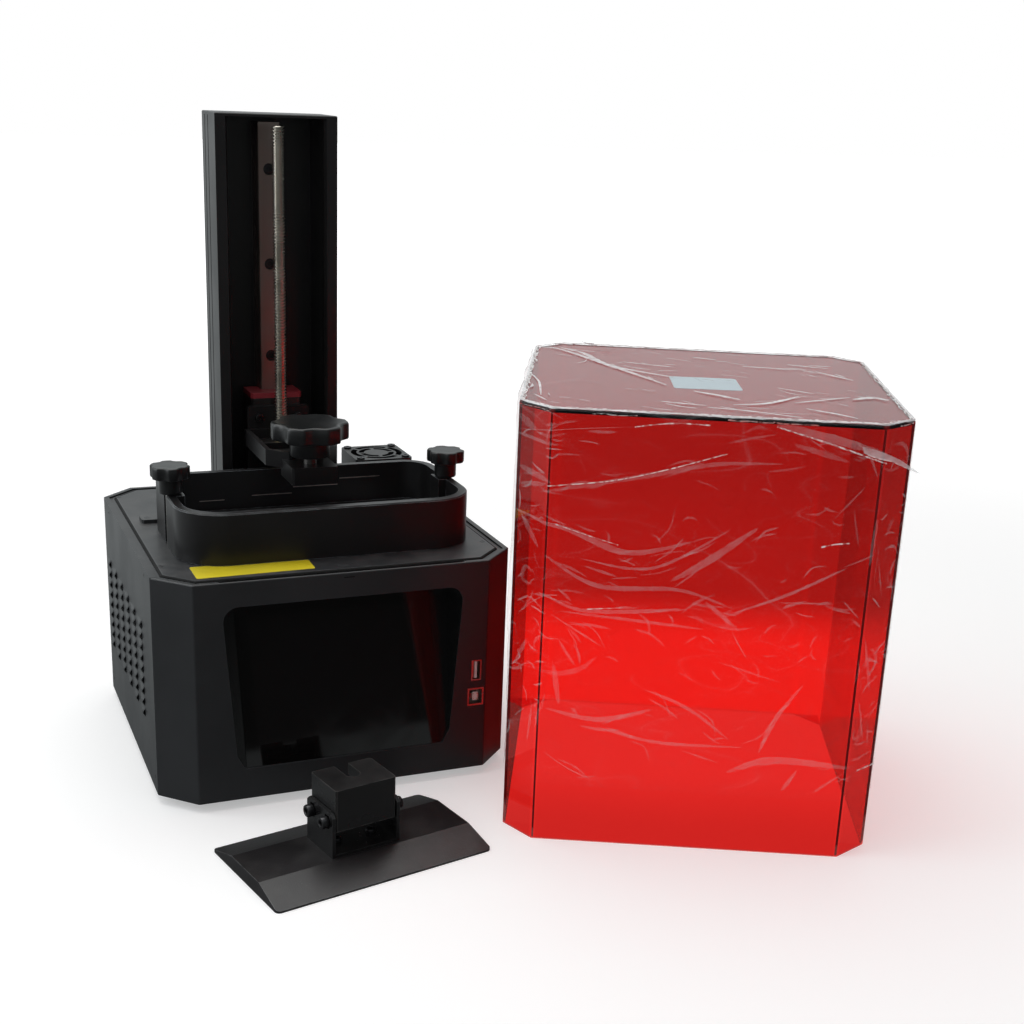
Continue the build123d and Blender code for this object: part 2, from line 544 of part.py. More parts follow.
def uv_board():
    at = Pos(0, BUILD_Y)
    board = prism(at * Rectangle(UV_LOW_W, UV_LOW_D), UV_LOW_Z - BOARD_T, UV_LOW_Z)
    step_x = (UV_LOW_W - 2 * UV_LAMP_EDGE) / (UV_LAMPS_X - 1)
    step_y = (UV_LOW_D - 2 * UV_LAMP_EDGE) / (UV_LAMPS_Y - 1)
    lamps = [Pos(UV_LAMP_EDGE - UV_LOW_W / 2 + i * step_x, BUILD_Y + UV_LAMP_EDGE - UV_LOW_D / 2 + j * step_y,
                 UV_LOW_Z + 0.75) * Box(3.5, 3.5, 1.5) for i in range(UV_LAMPS_X) for j in range(UV_LAMPS_Y)]
    return board + lamps


def uv_heatsink():
    top = UV_LOW_Z - BOARD_T
    sink = prism(Pos(0, BUILD_Y) * Rectangle(UV_LOW_W, UV_LOW_D), top - 4, top)
    step = (UV_LOW_W - 3) / (SINK_FINS - 1)
    for i in range(SINK_FINS):
        x = -UV_LOW_W / 2 + i * step
        sink += box(x, x + 3, BUILD_Y - UV_LOW_D / 2, BUILD_Y + UV_LOW_D / 2, top - SINK_H, top - 3)
    return sink


def stepper_motor():
    face = Rectangle(MOTOR_W, MOTOR_W)
    face = chamfer(face.vertices(), MOTOR_CUT)
    body = prism(Pos(0, SCREW_Y) * face, DECK_Z - MOTOR_H, DECK_Z)
    body += rod(0, SCREW_Y, DECK_Z, DECK_Z + MOTOR_BOSS_H, MOTOR_BOSS_R)
    return body - rod(0, SCREW_Y, DECK_Z - MOTOR_BORE_DEPTH, BIG, SCREW_R + SHAFT_PLAY)


def lead_screw():
    screw = rod(0, SCREW_Y, DECK_Z - MOTOR_BORE_DEPTH + 1, SCREW_TOP_Z, SCREW_R)
    return chamfer(screw.edges().sort_by(Axis.Z)[-1], 0.8)


# ------------------------------------------------------------------ vat

VAT_Z = RIM_Z + RUN
VAT_TOP = VAT_Z + VAT_H
FILM_Z = VAT_Z + VAT_RECESS


def vat_frame():
    """The vat's wall and floor, with a pad and an open slot at each end for the hand screws."""
    at, screen_at = Pos(VAT_X, BUILD_Y), Pos(0, BUILD_Y)
    body = prism(at * rounded(VAT_W, VAT_D, VAT_R_FRONT, VAT_R_REAR), VAT_Z, VAT_TOP)
    body = chamfer(body.faces().sort_by(Axis.Z)[-1].edges(), VAT_RIM_BREAK)
    inner = rounded(VAT_W - 2 * VAT_WALL, VAT_D - 2 * VAT_WALL, VAT_R_FRONT - VAT_WALL, VAT_R_REAR - VAT_WALL)
    hollow = prism(at * inner, FILM_Z + VAT_FLOOR, BIG)
    half_in = VAT_W / 2 - VAT_WALL
    for s in (-1, 1):
        pad = Pos(VAT_X + s * (half_in - VAT_PAD_D / 2 + 5), VAT_KNOB_Y) * Rectangle(VAT_PAD_D + 10, VAT_PAD_W)
        hollow -= prism(pad, 0, BIG)
    body -= hollow
    body -= prism(screen_at * Rectangle(ring_w(), ring_d()), 0, FILM_Z)
    body -= prism(screen_at * Rectangle(SCREEN_W + 2 * RING_GAP, SCREEN_D + 2 * RING_GAP), 0, BIG)
    for s in (-1, 1):
        x, out = VAT_X + s * VAT_KNOB_X, VAT_X + s * VAT_W
        body -= rod(x, VAT_KNOB_Y, 0, BIG, VAT_SLOT_R)
        body -= box(min(x, out), max(x, out), VAT_KNOB_Y - VAT_SLOT_R, VAT_KNOB_Y + VAT_SLOT_R, 0, BIG)
        near = VAT_X + s * (VAT_W / 2 - STOP_TONGUE - 2 * RUN)
        body -= box(min(near, out), max(near, out), STOP_Y - 2 * RUN, STOP_Y + STOP_L + 2 * RUN,
                    0, RIM_Z + STOP_T + RUN)
    return body


def ring_w():
    return SCREEN_W + 2 * RING_GAP + 2 * RING_BAND_X


def ring_d():
    return SCREEN_D + 2 * RING_GAP + 2 * RING_BAND_Y


def vat_film():
    return prism(Pos(0, BUILD_Y) * Rectangle(ring_w() - 2 * FIT, ring_d() - 2 * FIT), FILM_Z - FILM_T, FILM_Z)


def film_ring():
    ring = Rectangle(ring_w() - 2 * FIT, ring_d() - 2 * FIT)
    ring -= Rectangle(SCREEN_W + 2 * RING_GAP, SCREEN_D + 2 * RING_GAP)
    return prism(Pos(0, BUILD_Y) * ring, VAT_Z + FIT, FILM_Z - FILM_T)


def vat_knob(side):
    """The plastic head and neck that press on the vat's rim, moulded round the stud's end."""
    neck = rod(0, 0, 0, VAT_NECK_H, VAT_NECK_R)
    knob = neck + Pos(0, 0, VAT_NECK_H) * star(VAT_HEAD_R, KNOB_LOBES, VAT_HEAD_H)
    knob -= rod(0, 0, -1, KNOB_SOCKET, VAT_STUD_R + SHAFT_PLAY)
    return Pos(VAT_X + side * VAT_KNOB_X, VAT_KNOB_Y, VAT_TOP + RUN) * knob


def vat_stud(side):
    low, high = DECK_Z + RUN, VAT_TOP + RUN + KNOB_SOCKET - SHAFT_PLAY
    return rod(VAT_X + side * VAT_KNOB_X, VAT_KNOB_Y, low, high, VAT_STUD_R)


def vat_stop(side):
    """A small plate beside the vat whose tongue enters the notch in the vat's lower edge."""
    inner = VAT_W / 2 - STOP_TONGUE
    plate = box(inner, inner + STOP_TONGUE + STOP_W, STOP_Y, STOP_Y + STOP_L, RIM_Z, RIM_Z + STOP_T)
    plate = chamfer(plate.edges().filter_by(Axis.Z), 1.2)
    return Pos(VAT_X, 0, 0) * (plate if side > 0 else mirror(plate, Plane.YZ))


# ------------------------------------------------------------------ column

COL_BACK_Y = COL_FRONT_Y + COL_D
RAIL_BASE_Y = COL_BACK_Y - COL_BACK


def column():
    """An open channel with two grooves down each side."""
    outer = Pos(0, COL_FRONT_Y + COL_D / 2) * Rectangle(COL_W, COL_D)
    half_in = COL_W / 2 - COL_SIDE
    inner = Polygon((-half_in - COL_LIP, COL_FRONT_Y - 1), (half_in + COL_LIP, COL_FRONT_Y - 1),
                    (half_in + COL_LIP, COL_FRONT_Y), (half_in, COL_FRONT_Y + 2 * COL_LIP),
                    (half_in, RAIL_BASE_Y), (-half_in, RAIL_BASE_Y), (-half_in, COL_FRONT_Y + 2 * COL_LIP),
                    (-half_in - COL_LIP, COL_FRONT_Y), align=None)
    section = outer - inner
    for side in (-1, 1):
        for share in (0.50, 0.72):
            spot = Pos(side * COL_W / 2, COL_FRONT_Y + share * COL_D)
            section -= spot * Rectangle(2 * COL_GROOVE_D, COL_GROOVE_W)
    section = fillet([v for v in section.vertices()
                      if abs(v.Y - COL_BACK_Y) < 0.01 and abs(abs(v.X) - COL_W / 2) < 0.01], 3.0)
    return prism(section, RIM_Z, COL_TOP_Z)


def column_cap():
    cap = prism(Pos(0, COL_FRONT_Y + COL_D / 2) * Rectangle(COL_W, COL_D), COL_TOP_Z, COL_TOP_Z + COL_CAP_T)
    cap = fillet(cap.edges().filter_by(Axis.Z).group_by(Axis.Y)[-1], 3.0)
    return chamfer(cap.faces().sort_by(Axis.Z)[-1].edges(), 0.5)


def rail_profile(grow=0.0):
    """The rail's section: a foot, a waist and a head with broken corners."""
    w, base = RAIL_W / 2 + grow, RAIL_BASE_Y
    top = base - RAIL_H - grow
    return Polygon((-w, base + grow), (-w, base - 4.5), (-w + 1.6, base - 6.2), (-w + 1.6, base - 9.2),
                   (-w, base - 10.6), (-w, top + 0.7), (-w + 0.7, top), (w - 0.7, top), (w, top + 0.7),
                   (w, base - 10.6), (w - 1.6, base - 9.2), (w - 1.6, base - 6.2), (w, base - 4.5),
                   (w, base + grow), align=None)


RAIL_MIDDLE_Z = (RAIL_TOP_Z + RAIL_LOW_Z) / 2
RAIL_SPOTS = [RAIL_MIDDLE_Z + ((RAIL_HOLES - 1) / 2 - i) * RAIL_PITCH for i in range(RAIL_HOLES)]


def linear_rail():
    rail = prism(rail_profile(), RAIL_LOW_Z, RAIL_TOP_Z)
    face = RAIL_BASE_Y - RAIL_H
    for z in RAIL_SPOTS:
        rail -= Pos(0, face, z) * Rot(90, 0, 0) * Cylinder(RAIL_HEAD_R, 2 * RAIL_HEAD_DEPTH)
    return rail


def rail_screws():
    """The screws' heads, sunk in the rail's counterbores."""
    face = RAIL_BASE_Y - RAIL_H
    return [Pos(0, face + RAIL_HEAD_DEPTH - 2.0, z) * Rot(90, 0, 0) * Cylinder(RAIL_HEAD_R - 0.15, 4.0)
            for z in RAIL_SPOTS]


def block_section():
    """The guide block's section across the rail, waist cleared, inner face away from the wall."""
    outer_y = RAIL_BASE_Y - BLOCK_GAP
    face = Pos(0, outer_y - BLOCK_H / 2) * Rectangle(BLOCK_W, BLOCK_H)
    face = chamfer(face.vertices().group_by(Axis.Y)[0], BLOCK_BREAK)
    return face - rail_profile(RUN) - Pos(0, outer_y) * Rectangle(RAIL_W + 2 * RUN, 4)


def guide_block():
    return prism(block_section(), BLOCK_LOW_Z, BLOCK_LOW_Z + BLOCK_L)


def guide_seals():
    ends = ((BLOCK_LOW_Z - SEAL_T, BLOCK_LOW_Z), (BLOCK_LOW_Z + BLOCK_L, BLOCK_LOW_Z + BLOCK_L + SEAL_T))
    return [prism(block_section(), z0, z1) for z0, z1 in ends]


CARR_BACK_Y = RAIL_BASE_Y - BLOCK_GAP - BLOCK_H
CARR_FRONT_Y = CARR_BACK_Y - CARR_T
HEAD_HOLES = [(sx * 13.0, z) for sx in (-1, 1) for z in (BLOCK_LOW_Z + 14, BLOCK_LOW_Z + 40)]


def carriage_plate():
    plate = box(-CARR_W / 2, CARR_W / 2, CARR_FRONT_Y, CARR_BACK_Y, CARR_LOW_Z, CARR_TOP_Z)
    return chamfer(plate.edges().filter_by(Axis.Y), 1.5)


def carriage_screws():
    """The heads of the four cap screws that hold the plate to the block."""
    screws = []
    for x, z in HEAD_HOLES:
        if ARM_LOW_Z - 4 < z < ARM_LOW_Z + ARM_H + 4:
            continue
        spot = Pos(x, CARR_FRONT_Y - CARR_HEAD_H / 2, z) * Rot(90, 0, 0)
        screws.append(spot * Cylinder(CARR_HEAD_R, CARR_HEAD_H))
    return screws


def platform_arm():
    """A ribbed tray that runs forward from the carriage plate to the clamp head."""
    w = ARM_W / 2
    plan = Polygon((-w, CARR_FRONT_Y), (-w, ARM_FRONT_Y), (-w + ARM_CUT, ARM_FRONT_Y - ARM_CUT),
                   (w - ARM_CUT, ARM_FRONT_Y - ARM_CUT), (w, ARM_FRONT_Y), (w, CARR_FRONT_Y), align=None)
    arm = prism(plan, ARM_LOW_Z, ARM_LOW_Z + ARM_H)
    t = ARM_WALL
    inner = Polygon((-w + t, CARR_FRONT_Y - t), (-w + t, ARM_FRONT_Y + 0.4 * t),
                    (-w + ARM_CUT + 0.4 * t, ARM_FRONT_Y - ARM_CUT + t),
                    (w - ARM_CUT - 0.4 * t, ARM_FRONT_Y - ARM_CUT + t),
                    (w - t, ARM_FRONT_Y + 0.4 * t), (w - t, CARR_FRONT_Y - t), align=None)
    arm -= prism(inner, ARM_LOW_Z + ARM_FLOOR, BIG)
    rib_y = CARR_FRONT_Y - ARM_RIB
    rib = box(-w + t, w - t, rib_y - 2.5, rib_y, ARM_LOW_Z, ARM_LOW_Z + ARM_H - 2)
    head = box(-HEAD_W / 2, HEAD_W / 2, HEAD_FRONT_Y, HEAD_BACK_Y, HEAD_LOW_Z, HEAD_TOP_Z)
    head = chamfer(head.edges().filter_by(Axis.Z).group_by(Axis.Y)[0], 1.2)
    arm += rib + head
    arm -= rod(0, BUILD_Y, HEAD_TOP_Z, BIG, KNOB_HUB_R + 2 * RUN)
    arm -= rod(0, SCREW_Y, 0, BIG, NUT_BODY_R + FIT)
    return arm - rod(0, BUILD_Y, 0, BIG, STUD_R + SHAFT_PLAY)


def lead_nut():
    """A flanged nut under the arm, its flange cut flat to clear the carriage plate."""
    low = ARM_LOW_Z - NUT_FLANGE_T
    nut = rod(0, SCREW_Y, low, ARM_LOW_Z, NUT_FLANGE_R)
    nut -= box(-BIG, BIG, CARR_FRONT_Y - FIT, BIG, 0, BIG)
    nut += rod(0, SCREW_Y, ARM_LOW_Z, ARM_LOW_Z + NUT_BODY_H, NUT_BODY_R)
    return nut - rod(0, SCREW_Y, 0, BIG, SCREW_R + SHAFT_PLAY)


def clamp_knob():
    """The large hand knob that holds the platform down on the arm's head."""
    hub = rod(0, 0, 0, KNOB_HUB_H, KNOB_HUB_R)
    knob = hub + Pos(0, 0, KNOB_HUB_H) * star(KNOB_R, KNOB_LOBES, KNOB_H, KNOB_TURN)
    knob -= rod(0, 0, -1, KNOB_SOCKET, STUD_R + SHAFT_PLAY)
    return Pos(0, BUILD_Y, HEAD_TOP_Z + KNOB_GAP) * knob


def clamp_stud():
    """The steel stud between the knob and the thread in the arm's head."""
    return rod(0, BUILD_Y, HEAD_LOW_Z + 1, HEAD_TOP_Z + KNOB_GAP + KNOB_SOCKET - SHAFT_PLAY, STUD_R)


# ------------------------------------------------------------------ fan on the deck

def fan_housing():
    body = prism(Pos(FAN_X, FAN_Y) * rounded(FAN_W, FAN_W, 3.0), RIM_Z, RIM_Z + FAN_H - GUARD_T)
    return body - rod(FAN_X, FAN_Y, 0, BIG, FAN_BORE_R)


def fan_guard():
    """A flat plate over the fan: a middle disc and one ring, held by struts between the curved slots."""
    at = Pos(FAN_X, FAN_Y)
    ring = Circle(GUARD_MID_R + GUARD_BAND / 2) - Circle(GUARD_MID_R - GUARD_BAND / 2)
    grille = rounded(FAN_W, FAN_W, 3.0) - Circle(FAN_BORE_R - 0.8) + ring + Circle(GUARD_DISC_R)
    outer_mid, inner_mid = (FAN_BORE_R + GUARD_MID_R) / 2, (GUARD_MID_R + GUARD_DISC_R) / 2
    for i in range(4):
        grille += Rot(0, 0, 90 * i + 45) * Pos(outer_mid, 0) * Rectangle(FAN_BORE_R - GUARD_MID_R + 1, 2.4)
        grille += Rot(0, 0, 90 * i) * Pos(inner_mid, 0) * Rectangle(GUARD_MID_R - GUARD_DISC_R + 1, 2.4)
    return prism(at * grille, RIM_Z + FAN_H - GUARD_T, RIM_Z + FAN_H)


def fan_rotor():
    """A hub on its pin with seven pitched blades."""
    low, high = RIM_Z + 6.0, RIM_Z + FAN_H - GUARD_T - 2.0
    rotor = rod(0, 0, low, high, FAN_HUB_R)
    chord = 13.0
    tip = sqrt((FAN_BORE_R - 0.6) ** 2 - (chord / 2) ** 2)
    for i in range(FAN_BLADES):
        blade = Pos((FAN_HUB_R + tip) / 2 - 0.5, 0, (low + high) / 2) * Rot(52, 0, 0) * Box(
            tip - FAN_HUB_R + 1, 1.2, chord)
        rotor += Rot(0, 0, 360 / FAN_BLADES * i) * blade
    return Pos(FAN_X, FAN_Y, 0) * rotor


def fan_spider():
    """The motor base under the rotor: a disc on three struts, with the pin that the hub turns on."""
    z0, z1 = RIM_Z, RIM_Z + 4.0
    plate = Circle(FAN_HUB_R)
    for i in range(3):
        plate += Rot(0, 0, 120 * i) * Pos(FAN_BORE_R / 2, 0) * Rectangle(FAN_BORE_R - FIT, 3.0)
    plate &= Circle(FAN_BORE_R - FIT)
    return prism(Pos(FAN_X, FAN_Y) * plate, z0, z1) + rod(FAN_X, FAN_Y, z1, RIM_Z + 5.5, 3.0)


# ------------------------------------------------------------------ cover

def cover_outline(inset):
    return octagon(inset, COVER_W, COVER_D, COVER_CORNER)


def cover():
    """The tinted hood, standing open side down."""
    body = prism(cover_outline(0), 0, COVER_H)
    body = fillet(body.faces().sort_by(Axis.Z)[-1].edges(), 1.0)
    return body - prism(cover_outline(COVER_T), -1, COVER_H - COVER_T)


def cover_wrap():
    """Clear film drawn over the cover from the top."""
    inner, outer = -WRAP_GAP, -WRAP_GAP - WRAP_T
    skin = prism(cover_outline(outer), WRAP_LOW_Z, COVER_H + WRAP_GAP + WRAP_T)
    return skin - prism(cover_outline(inner), 0, COVER_H + WRAP_GAP)


# ------------------------------------------------------------------ build platform

def platform_plate():
    """A flat-bottomed plate whose back slopes to thin edges in front and behind, with steep ends."""
    def roof(length, flat):
        return Polygon((-length / 2, 0), (length / 2, 0), (length / 2, PLAT_EDGE), (flat / 2, PLAT_T),
                       (-flat / 2, PLAT_T), (-length / 2, PLAT_EDGE), align=None)
    across = Plane(origin=(0, 0, 0), x_dir=(1, 0, 0), z_dir=(0, -1, 0)) * roof(PLAT_W, PLAT_W - 2 * PLAT_END)
    along = Plane(origin=(0, 0, 0), x_dir=(0, 1, 0), z_dir=(1, 0, 0)) * roof(PLAT_D, PLAT_BAND)
    plate = extrude(across, PLAT_D, both=True) & extrude(along, PLAT_W, both=True)
    return plate & prism(rounded(PLAT_W, PLAT_D, 3.0), 0, PLAT_T)


def platform_bracket():
    """A folded U of sheet, its floor on the plate and a cheek on each side of the block."""
    w, d = BRKT_W / 2, BRKT_D / 2
    bracket = box(-w, w, -d, d, PLAT_T, PLAT_T + BRKT_T)
    for s in (-1, 1):
        cheek = box(min(s * w, s * (w - BRKT_T)), max(s * w, s * (w - BRKT_T)), -d, d, PLAT_T, PLAT_T + BRKT_H)
        cheek = chamfer(cheek.edges().filter_by(Axis.X).group_by(Axis.Z)[-1], 2.5)
        bracket += cheek
        for y in (-LEVEL_DY, LEVEL_DY):
            r = LEVEL_SCREW_R + LEVEL_PLAY
            bracket -= box(min(0, s * BIG), max(0, s * BIG), y - r, y + r, LEVEL_Z - r - 1.5, LEVEL_Z + r + 1.5)
    return bracket


def bracket_screws():
    z = PLAT_T + BRKT_T
    return [rod(x, 0, z, z + BRKT_HEAD_H, BRKT_HEAD_R) for x in (-11.0, 11.0)]


def platform_block():
    """The head that slides over the arm's head from the front: a cavity open at the back, and a slot
    in its top for the clamp stud."""
    w, d = BLOCK2_W / 2, BLOCK2_D / 2
    block = box(-w, w, -d, d, BLOCK2_LOW, BLOCK2_TOP)
    block = chamfer(block.edges().filter_by(Axis.Z), 0.8)
    roof = BLOCK2_TOP - BLOCK2_SHELL
    half, front = HEAD_W / 2 + RUN, SLOT_Y - (BUILD_Y - HEAD_FRONT_Y) - RUN
    block -= box(-half, half, front, BIG, roof - (HEAD_TOP_Z - HEAD_LOW_Z) - 2 * RUN, roof)
    return block - rod(0, SLOT_Y, roof - 1, BIG, SLOT_W / 2) - box(
        -SLOT_W / 2, SLOT_W / 2, SLOT_Y, BIG, roof - 1, BIG)


def levelling_screws():
    """Cap screws that pass the cheeks' slots into the block's sides."""
    screws = []
    gap = BRKT_W / 2
    for s in (-1, 1):
        for y in (-LEVEL_DY, LEVEL_DY):
            turn = Rot(0, 90, 0)
            head = Cylinder(LEVEL_HEAD_R, LEVEL_HEAD_H)
            head = Pos(s * (gap + RUN + LEVEL_HEAD_H / 2), y, LEVEL_Z) * turn * head
            reach = gap + RUN - BLOCK2_W / 2
            shank = Pos(s * (BLOCK2_W / 2 + reach / 2), y, LEVEL_Z) * turn * Cylinder(LEVEL_SCREW_R, reach)
            screws.append(head + shank)
    return screws


# ------------------------------------------------------------------ assembly

def printer():
    """Every piece of the printer, in the base's frame."""
    left = side_panel()
    return {
        "bottom_tray": bottom_tray(), "feet": feet(), "front_fascia": front_fascia(),
        "side_panel_left": left, "side_panel_right": mirror(left, Plane.YZ), "rear_panel": rear_panel(),
        "chassis_frame": chassis_frame(), "deck_plate": deck_plate(), "exposure_screen": exposure_screen(),
        "touch_glass": touch_glass(), "display_module": display_module(), "usb_a_port": usb_a_port(),
        "usb_b_port": usb_b_port(), "usb_board": usb_board(), "main_board": main_board(),
        "power_supply": power_supply(), "power_inlet": power_inlet(), "switch_frame": switch_frame(),
        "switch_rocker": switch_rocker(), "uv_housing": uv_housing(), "uv_board": uv_board(),
        "uv_heatsink": uv_heatsink(), "stepper_motor": stepper_motor(), "lead_screw": lead_screw(),
        "vat_frame": vat_frame(), "vat_film": vat_film(), "film_ring": film_ring(),
        "vat_knob_left": vat_knob(-1), "vat_stud_left": vat_stud(-1), "vat_knob_right": vat_knob(1),
        "vat_stud_right": vat_stud(1), "vat_stops": [vat_stop(-1), vat_stop(1)], "column": column(),
        "column_cap": column_cap(), "linear_rail": linear_rail(), "rail_screws": rail_screws(),
        "guide_block": guide_block(), "guide_seals": guide_seals(), "carriage_plate": carriage_plate(),
        "carriage_screws": carriage_screws(), "platform_arm": platform_arm(), "lead_nut": lead_nut(),
        "clamp_knob": clamp_knob(), "clamp_stud": clamp_stud(), "fan_housing": fan_housing(),
        "fan_guard": fan_guard(), "fan_rotor": fan_rotor(), "fan_spider": fan_spider(),
    }


def loose_pieces():
    """The cover and the platform, each in its own frame, with where it stands on the table."""
    cover_at = Pos(*COVER_AT, 0) * Rot(0, 0, COVER_TURN)
    plat_at = Pos(*PLAT_AT, 0) * Rot(0, 0, PLAT_TURN)
    return {
        "cover": (cover(), cover_at), "cover_wrap": (cover_wrap(), cover_at),
        "platform_plate": (platform_plate(), plat_at), "platform_bracket": (platform_bracket(), plat_at),
        "bracket_screws": (bracket_screws(), plat_at), "platform_block": (platform_block(), plat_at),
        "levelling_screws": (levelling_screws(), plat_at),
    }


def solids_of(piece):
    """A piece's solids, whether it is one shape or a group."""
    shapes = piece if isinstance(piece, list) else [piece]
    return [solid for shape in shapes for solid in shape.solids()]


def assembly():
    """All pieces in place, as lists of solids, about the middle of the group's footprint."""
    pieces = {name: solids_of(piece) for name, piece in printer().items()}
    for name, (piece, spot) in loose_pieces().items():
        pieces[name] = [spot * solid for solid in solids_of(piece)]
    bounds = Compound([s for solids in pieces.values() for s in solids]).bounding_box()
    shift = Pos(-(bounds.min.X + bounds.max.X) / 2, -(bounds.min.Y + bounds.max.Y) / 2, 0)
    placed = {name: [shift * s for s in solids] for name, solids in pieces.items()}
    return placed, shift


def write_parts():
    os.makedirs("parts", exist_ok=True)
    placed, shift = assembly()
    for name, solids in placed.items():
        shape = solids[0] if len(solids) == 1 else Compound(solids)
        export_step(shape, f"parts/{name}.step")
    print("base middle at", [round(v, 4) for v in shift.position])


if __name__ == "__main__":
    write_parts()
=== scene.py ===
import random
from functools import cache
from math import atan2, cos, hypot, pi, radians, sin, sqrt

import bmesh
import bpy
from bpy.props import FloatProperty, FloatVectorProperty, IntProperty, PointerProperty
from mathutils import Matrix, Vector, noise


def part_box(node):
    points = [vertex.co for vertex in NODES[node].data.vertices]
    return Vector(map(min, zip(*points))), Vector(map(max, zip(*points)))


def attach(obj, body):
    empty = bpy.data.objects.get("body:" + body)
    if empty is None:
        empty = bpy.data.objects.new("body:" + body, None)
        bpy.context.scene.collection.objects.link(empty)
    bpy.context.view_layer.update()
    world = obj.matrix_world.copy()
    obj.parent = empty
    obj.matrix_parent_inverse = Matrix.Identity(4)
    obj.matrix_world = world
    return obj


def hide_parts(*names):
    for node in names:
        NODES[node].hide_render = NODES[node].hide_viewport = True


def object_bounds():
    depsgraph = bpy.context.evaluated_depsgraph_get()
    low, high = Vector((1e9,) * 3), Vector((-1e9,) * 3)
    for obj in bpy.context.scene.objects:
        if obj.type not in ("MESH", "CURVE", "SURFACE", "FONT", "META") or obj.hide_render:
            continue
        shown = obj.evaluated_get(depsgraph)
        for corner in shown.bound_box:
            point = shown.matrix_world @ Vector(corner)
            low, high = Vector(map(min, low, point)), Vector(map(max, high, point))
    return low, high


bl_info = {
    "name": "Resin Printer Finish",
    "version": (1, 0, 0),
    "blender": (4, 5, 0),
    "location": "View3D > Sidebar > Resin Printer",
    "description": "Finishes and fine parts for a desktop resin printer, its cover and its build platform",
    "category": "Object",
}

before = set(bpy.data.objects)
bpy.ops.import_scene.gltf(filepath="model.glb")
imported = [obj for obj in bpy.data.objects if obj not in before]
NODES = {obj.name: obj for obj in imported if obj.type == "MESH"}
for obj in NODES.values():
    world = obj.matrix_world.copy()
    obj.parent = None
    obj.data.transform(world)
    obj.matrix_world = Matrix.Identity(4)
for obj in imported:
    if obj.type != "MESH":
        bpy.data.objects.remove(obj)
CAD_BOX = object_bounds()
UP, FRONT, BACK = (0, 0, 1), (0, -1, 0), (0, 1, 0)
WHITE = (1, 1, 1, 1)


# ------------------------------------------------------------------ places

def middle(node):
    low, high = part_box(node)
    return (low + high) / 2


def top_of(node):
    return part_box(node)[1].z


BASE = middle("deck_plate").to_2d()              # middle of the base in plan
SHEET_OFF = 0.1105                               # from there to its front and side sheets
DECK_LEG = 0.0167                                # what the deck's corners are cut by
COVER_HALF, COVER_LEG = 0.107, 0.018             # half the cover's width, and what its corners are cut by
COVER_TURN, PLATFORM_TURN = radians(-25.9), radians(12.4)


def at(x, y, z):
    """A point given in millimetres from the middle of the base, in metres."""
    return Vector((BASE.x + x / 1000, BASE.y + y / 1000, z / 1000))


def stand(node, turn):
    """The matrix of a loose part that stands on the table, turned about its own middle."""
    spot = middle(node)
    return Matrix.Translation((spot.x, spot.y, 0)) @ Matrix.Rotation(turn, 4, "Z")


COVER_FRAME = stand("cover", COVER_TURN)
PLATFORM_FRAME = stand("platform_plate", PLATFORM_TURN)


def islands(node):
    """The boxes of a node's separate solids, lowest and highest corner each."""
    bm = bmesh.new()
    bm.from_mesh(NODES[node].data)
    bmesh.ops.remove_doubles(bm, verts=bm.verts, dist=1e-6)
    seen, found = set(), []
    for start in bm.verts:
        if start in seen:
            continue
        stack, members = [start], []
        seen.add(start)
        while stack:
            vert = stack.pop()
            members.append(vert.co.copy())
            for other in (edge.other_vert(vert) for edge in vert.link_edges):
                if other not in seen:
                    seen.add(other)
                    stack.append(other)
        found.append(tuple(Vector(pick(c) for c in zip(*members)) for pick in (min, max)))
    bm.free()
    return sorted(found, key=lambda b: (round(b[0].z, 4), round(b[0].y, 4), b[0].x))


# ------------------------------------------------------------------ settings

def hue(name, description, default):
    return FloatVectorProperty(name=name, description=description, subtype="COLOR", size=3, min=0, max=1,
                               default=default)


def metres(name, description, low, high, default):
    return FloatProperty(name=name, description=description, subtype="DISTANCE", unit="LENGTH",
                         min=low, max=high, default=default)


def watts(name, description, default):
    return FloatProperty(name=name, description=description, subtype="POWER", unit="POWER", min=0, max=200,
                         default=default)


def factor(name, description, default):
    return FloatProperty(name=name, description=description, min=0, max=3, default=default)


class FinishSettings(bpy.types.PropertyGroup):
    """Colours of the printer's finishes."""
    powder_coat: hue("Powder coat", "Colour of the housing's sheet and deck", (0.0165, 0.0175, 0.0195))
    anodised: hue("Black anodised", "Colour of the vat, column and arm", (0.010, 0.0096, 0.0102))
    moulded: hue("Moulded plastic", "Colour of the hand knobs and the fan", (0.014, 0.015, 0.016))
    blasted: hue("Blasted plate", "Colour of the build platform", (0.014, 0.0125, 0.0135))
    acrylic: hue("Cover tint", "Colour that the cover's sheet lets through", (0.90, 0.090, 0.072))
    seal: hue("Seal red", "Colour of the guide block's end seals", (0.24, 0.020, 0.030))
    label: hue("Label yellow", "Colour of the plain label on the deck", (0.74, 0.61, 0.018))


class PartSettings(bpy.types.PropertyGroup):
    """Sizes of the fine parts."""
    thread_pitch: metres("Screw pitch", "Distance between the lead screw's threads", 0.0005, 0.01, 0.002)
    thread_depth: metres("Thread depth", "Depth of the lead screw's thread", 0.0001, 0.002, 0.0009)
    fold_height: metres("Fold height", "How far the protective film's folds stand out", 0, 0.005, 0.0011)
    film_step: metres("Film mesh step", "Spacing of the protective film's vertices", 0.001, 0.01, 0.0024)
    socket_share: FloatProperty(name="Socket share", description="Width of a screw's hexagon over its head's",
                                subtype="FACTOR", min=0.2, max=0.8, default=0.5)
    label_thick: metres("Label thickness", "Thickness of the stuck-on labels", 0.00005, 0.001, 0.00015)
    knob_sides: IntProperty(name="Knob segments", description="Points round each hand knob",
                            min=24, max=240, default=144)


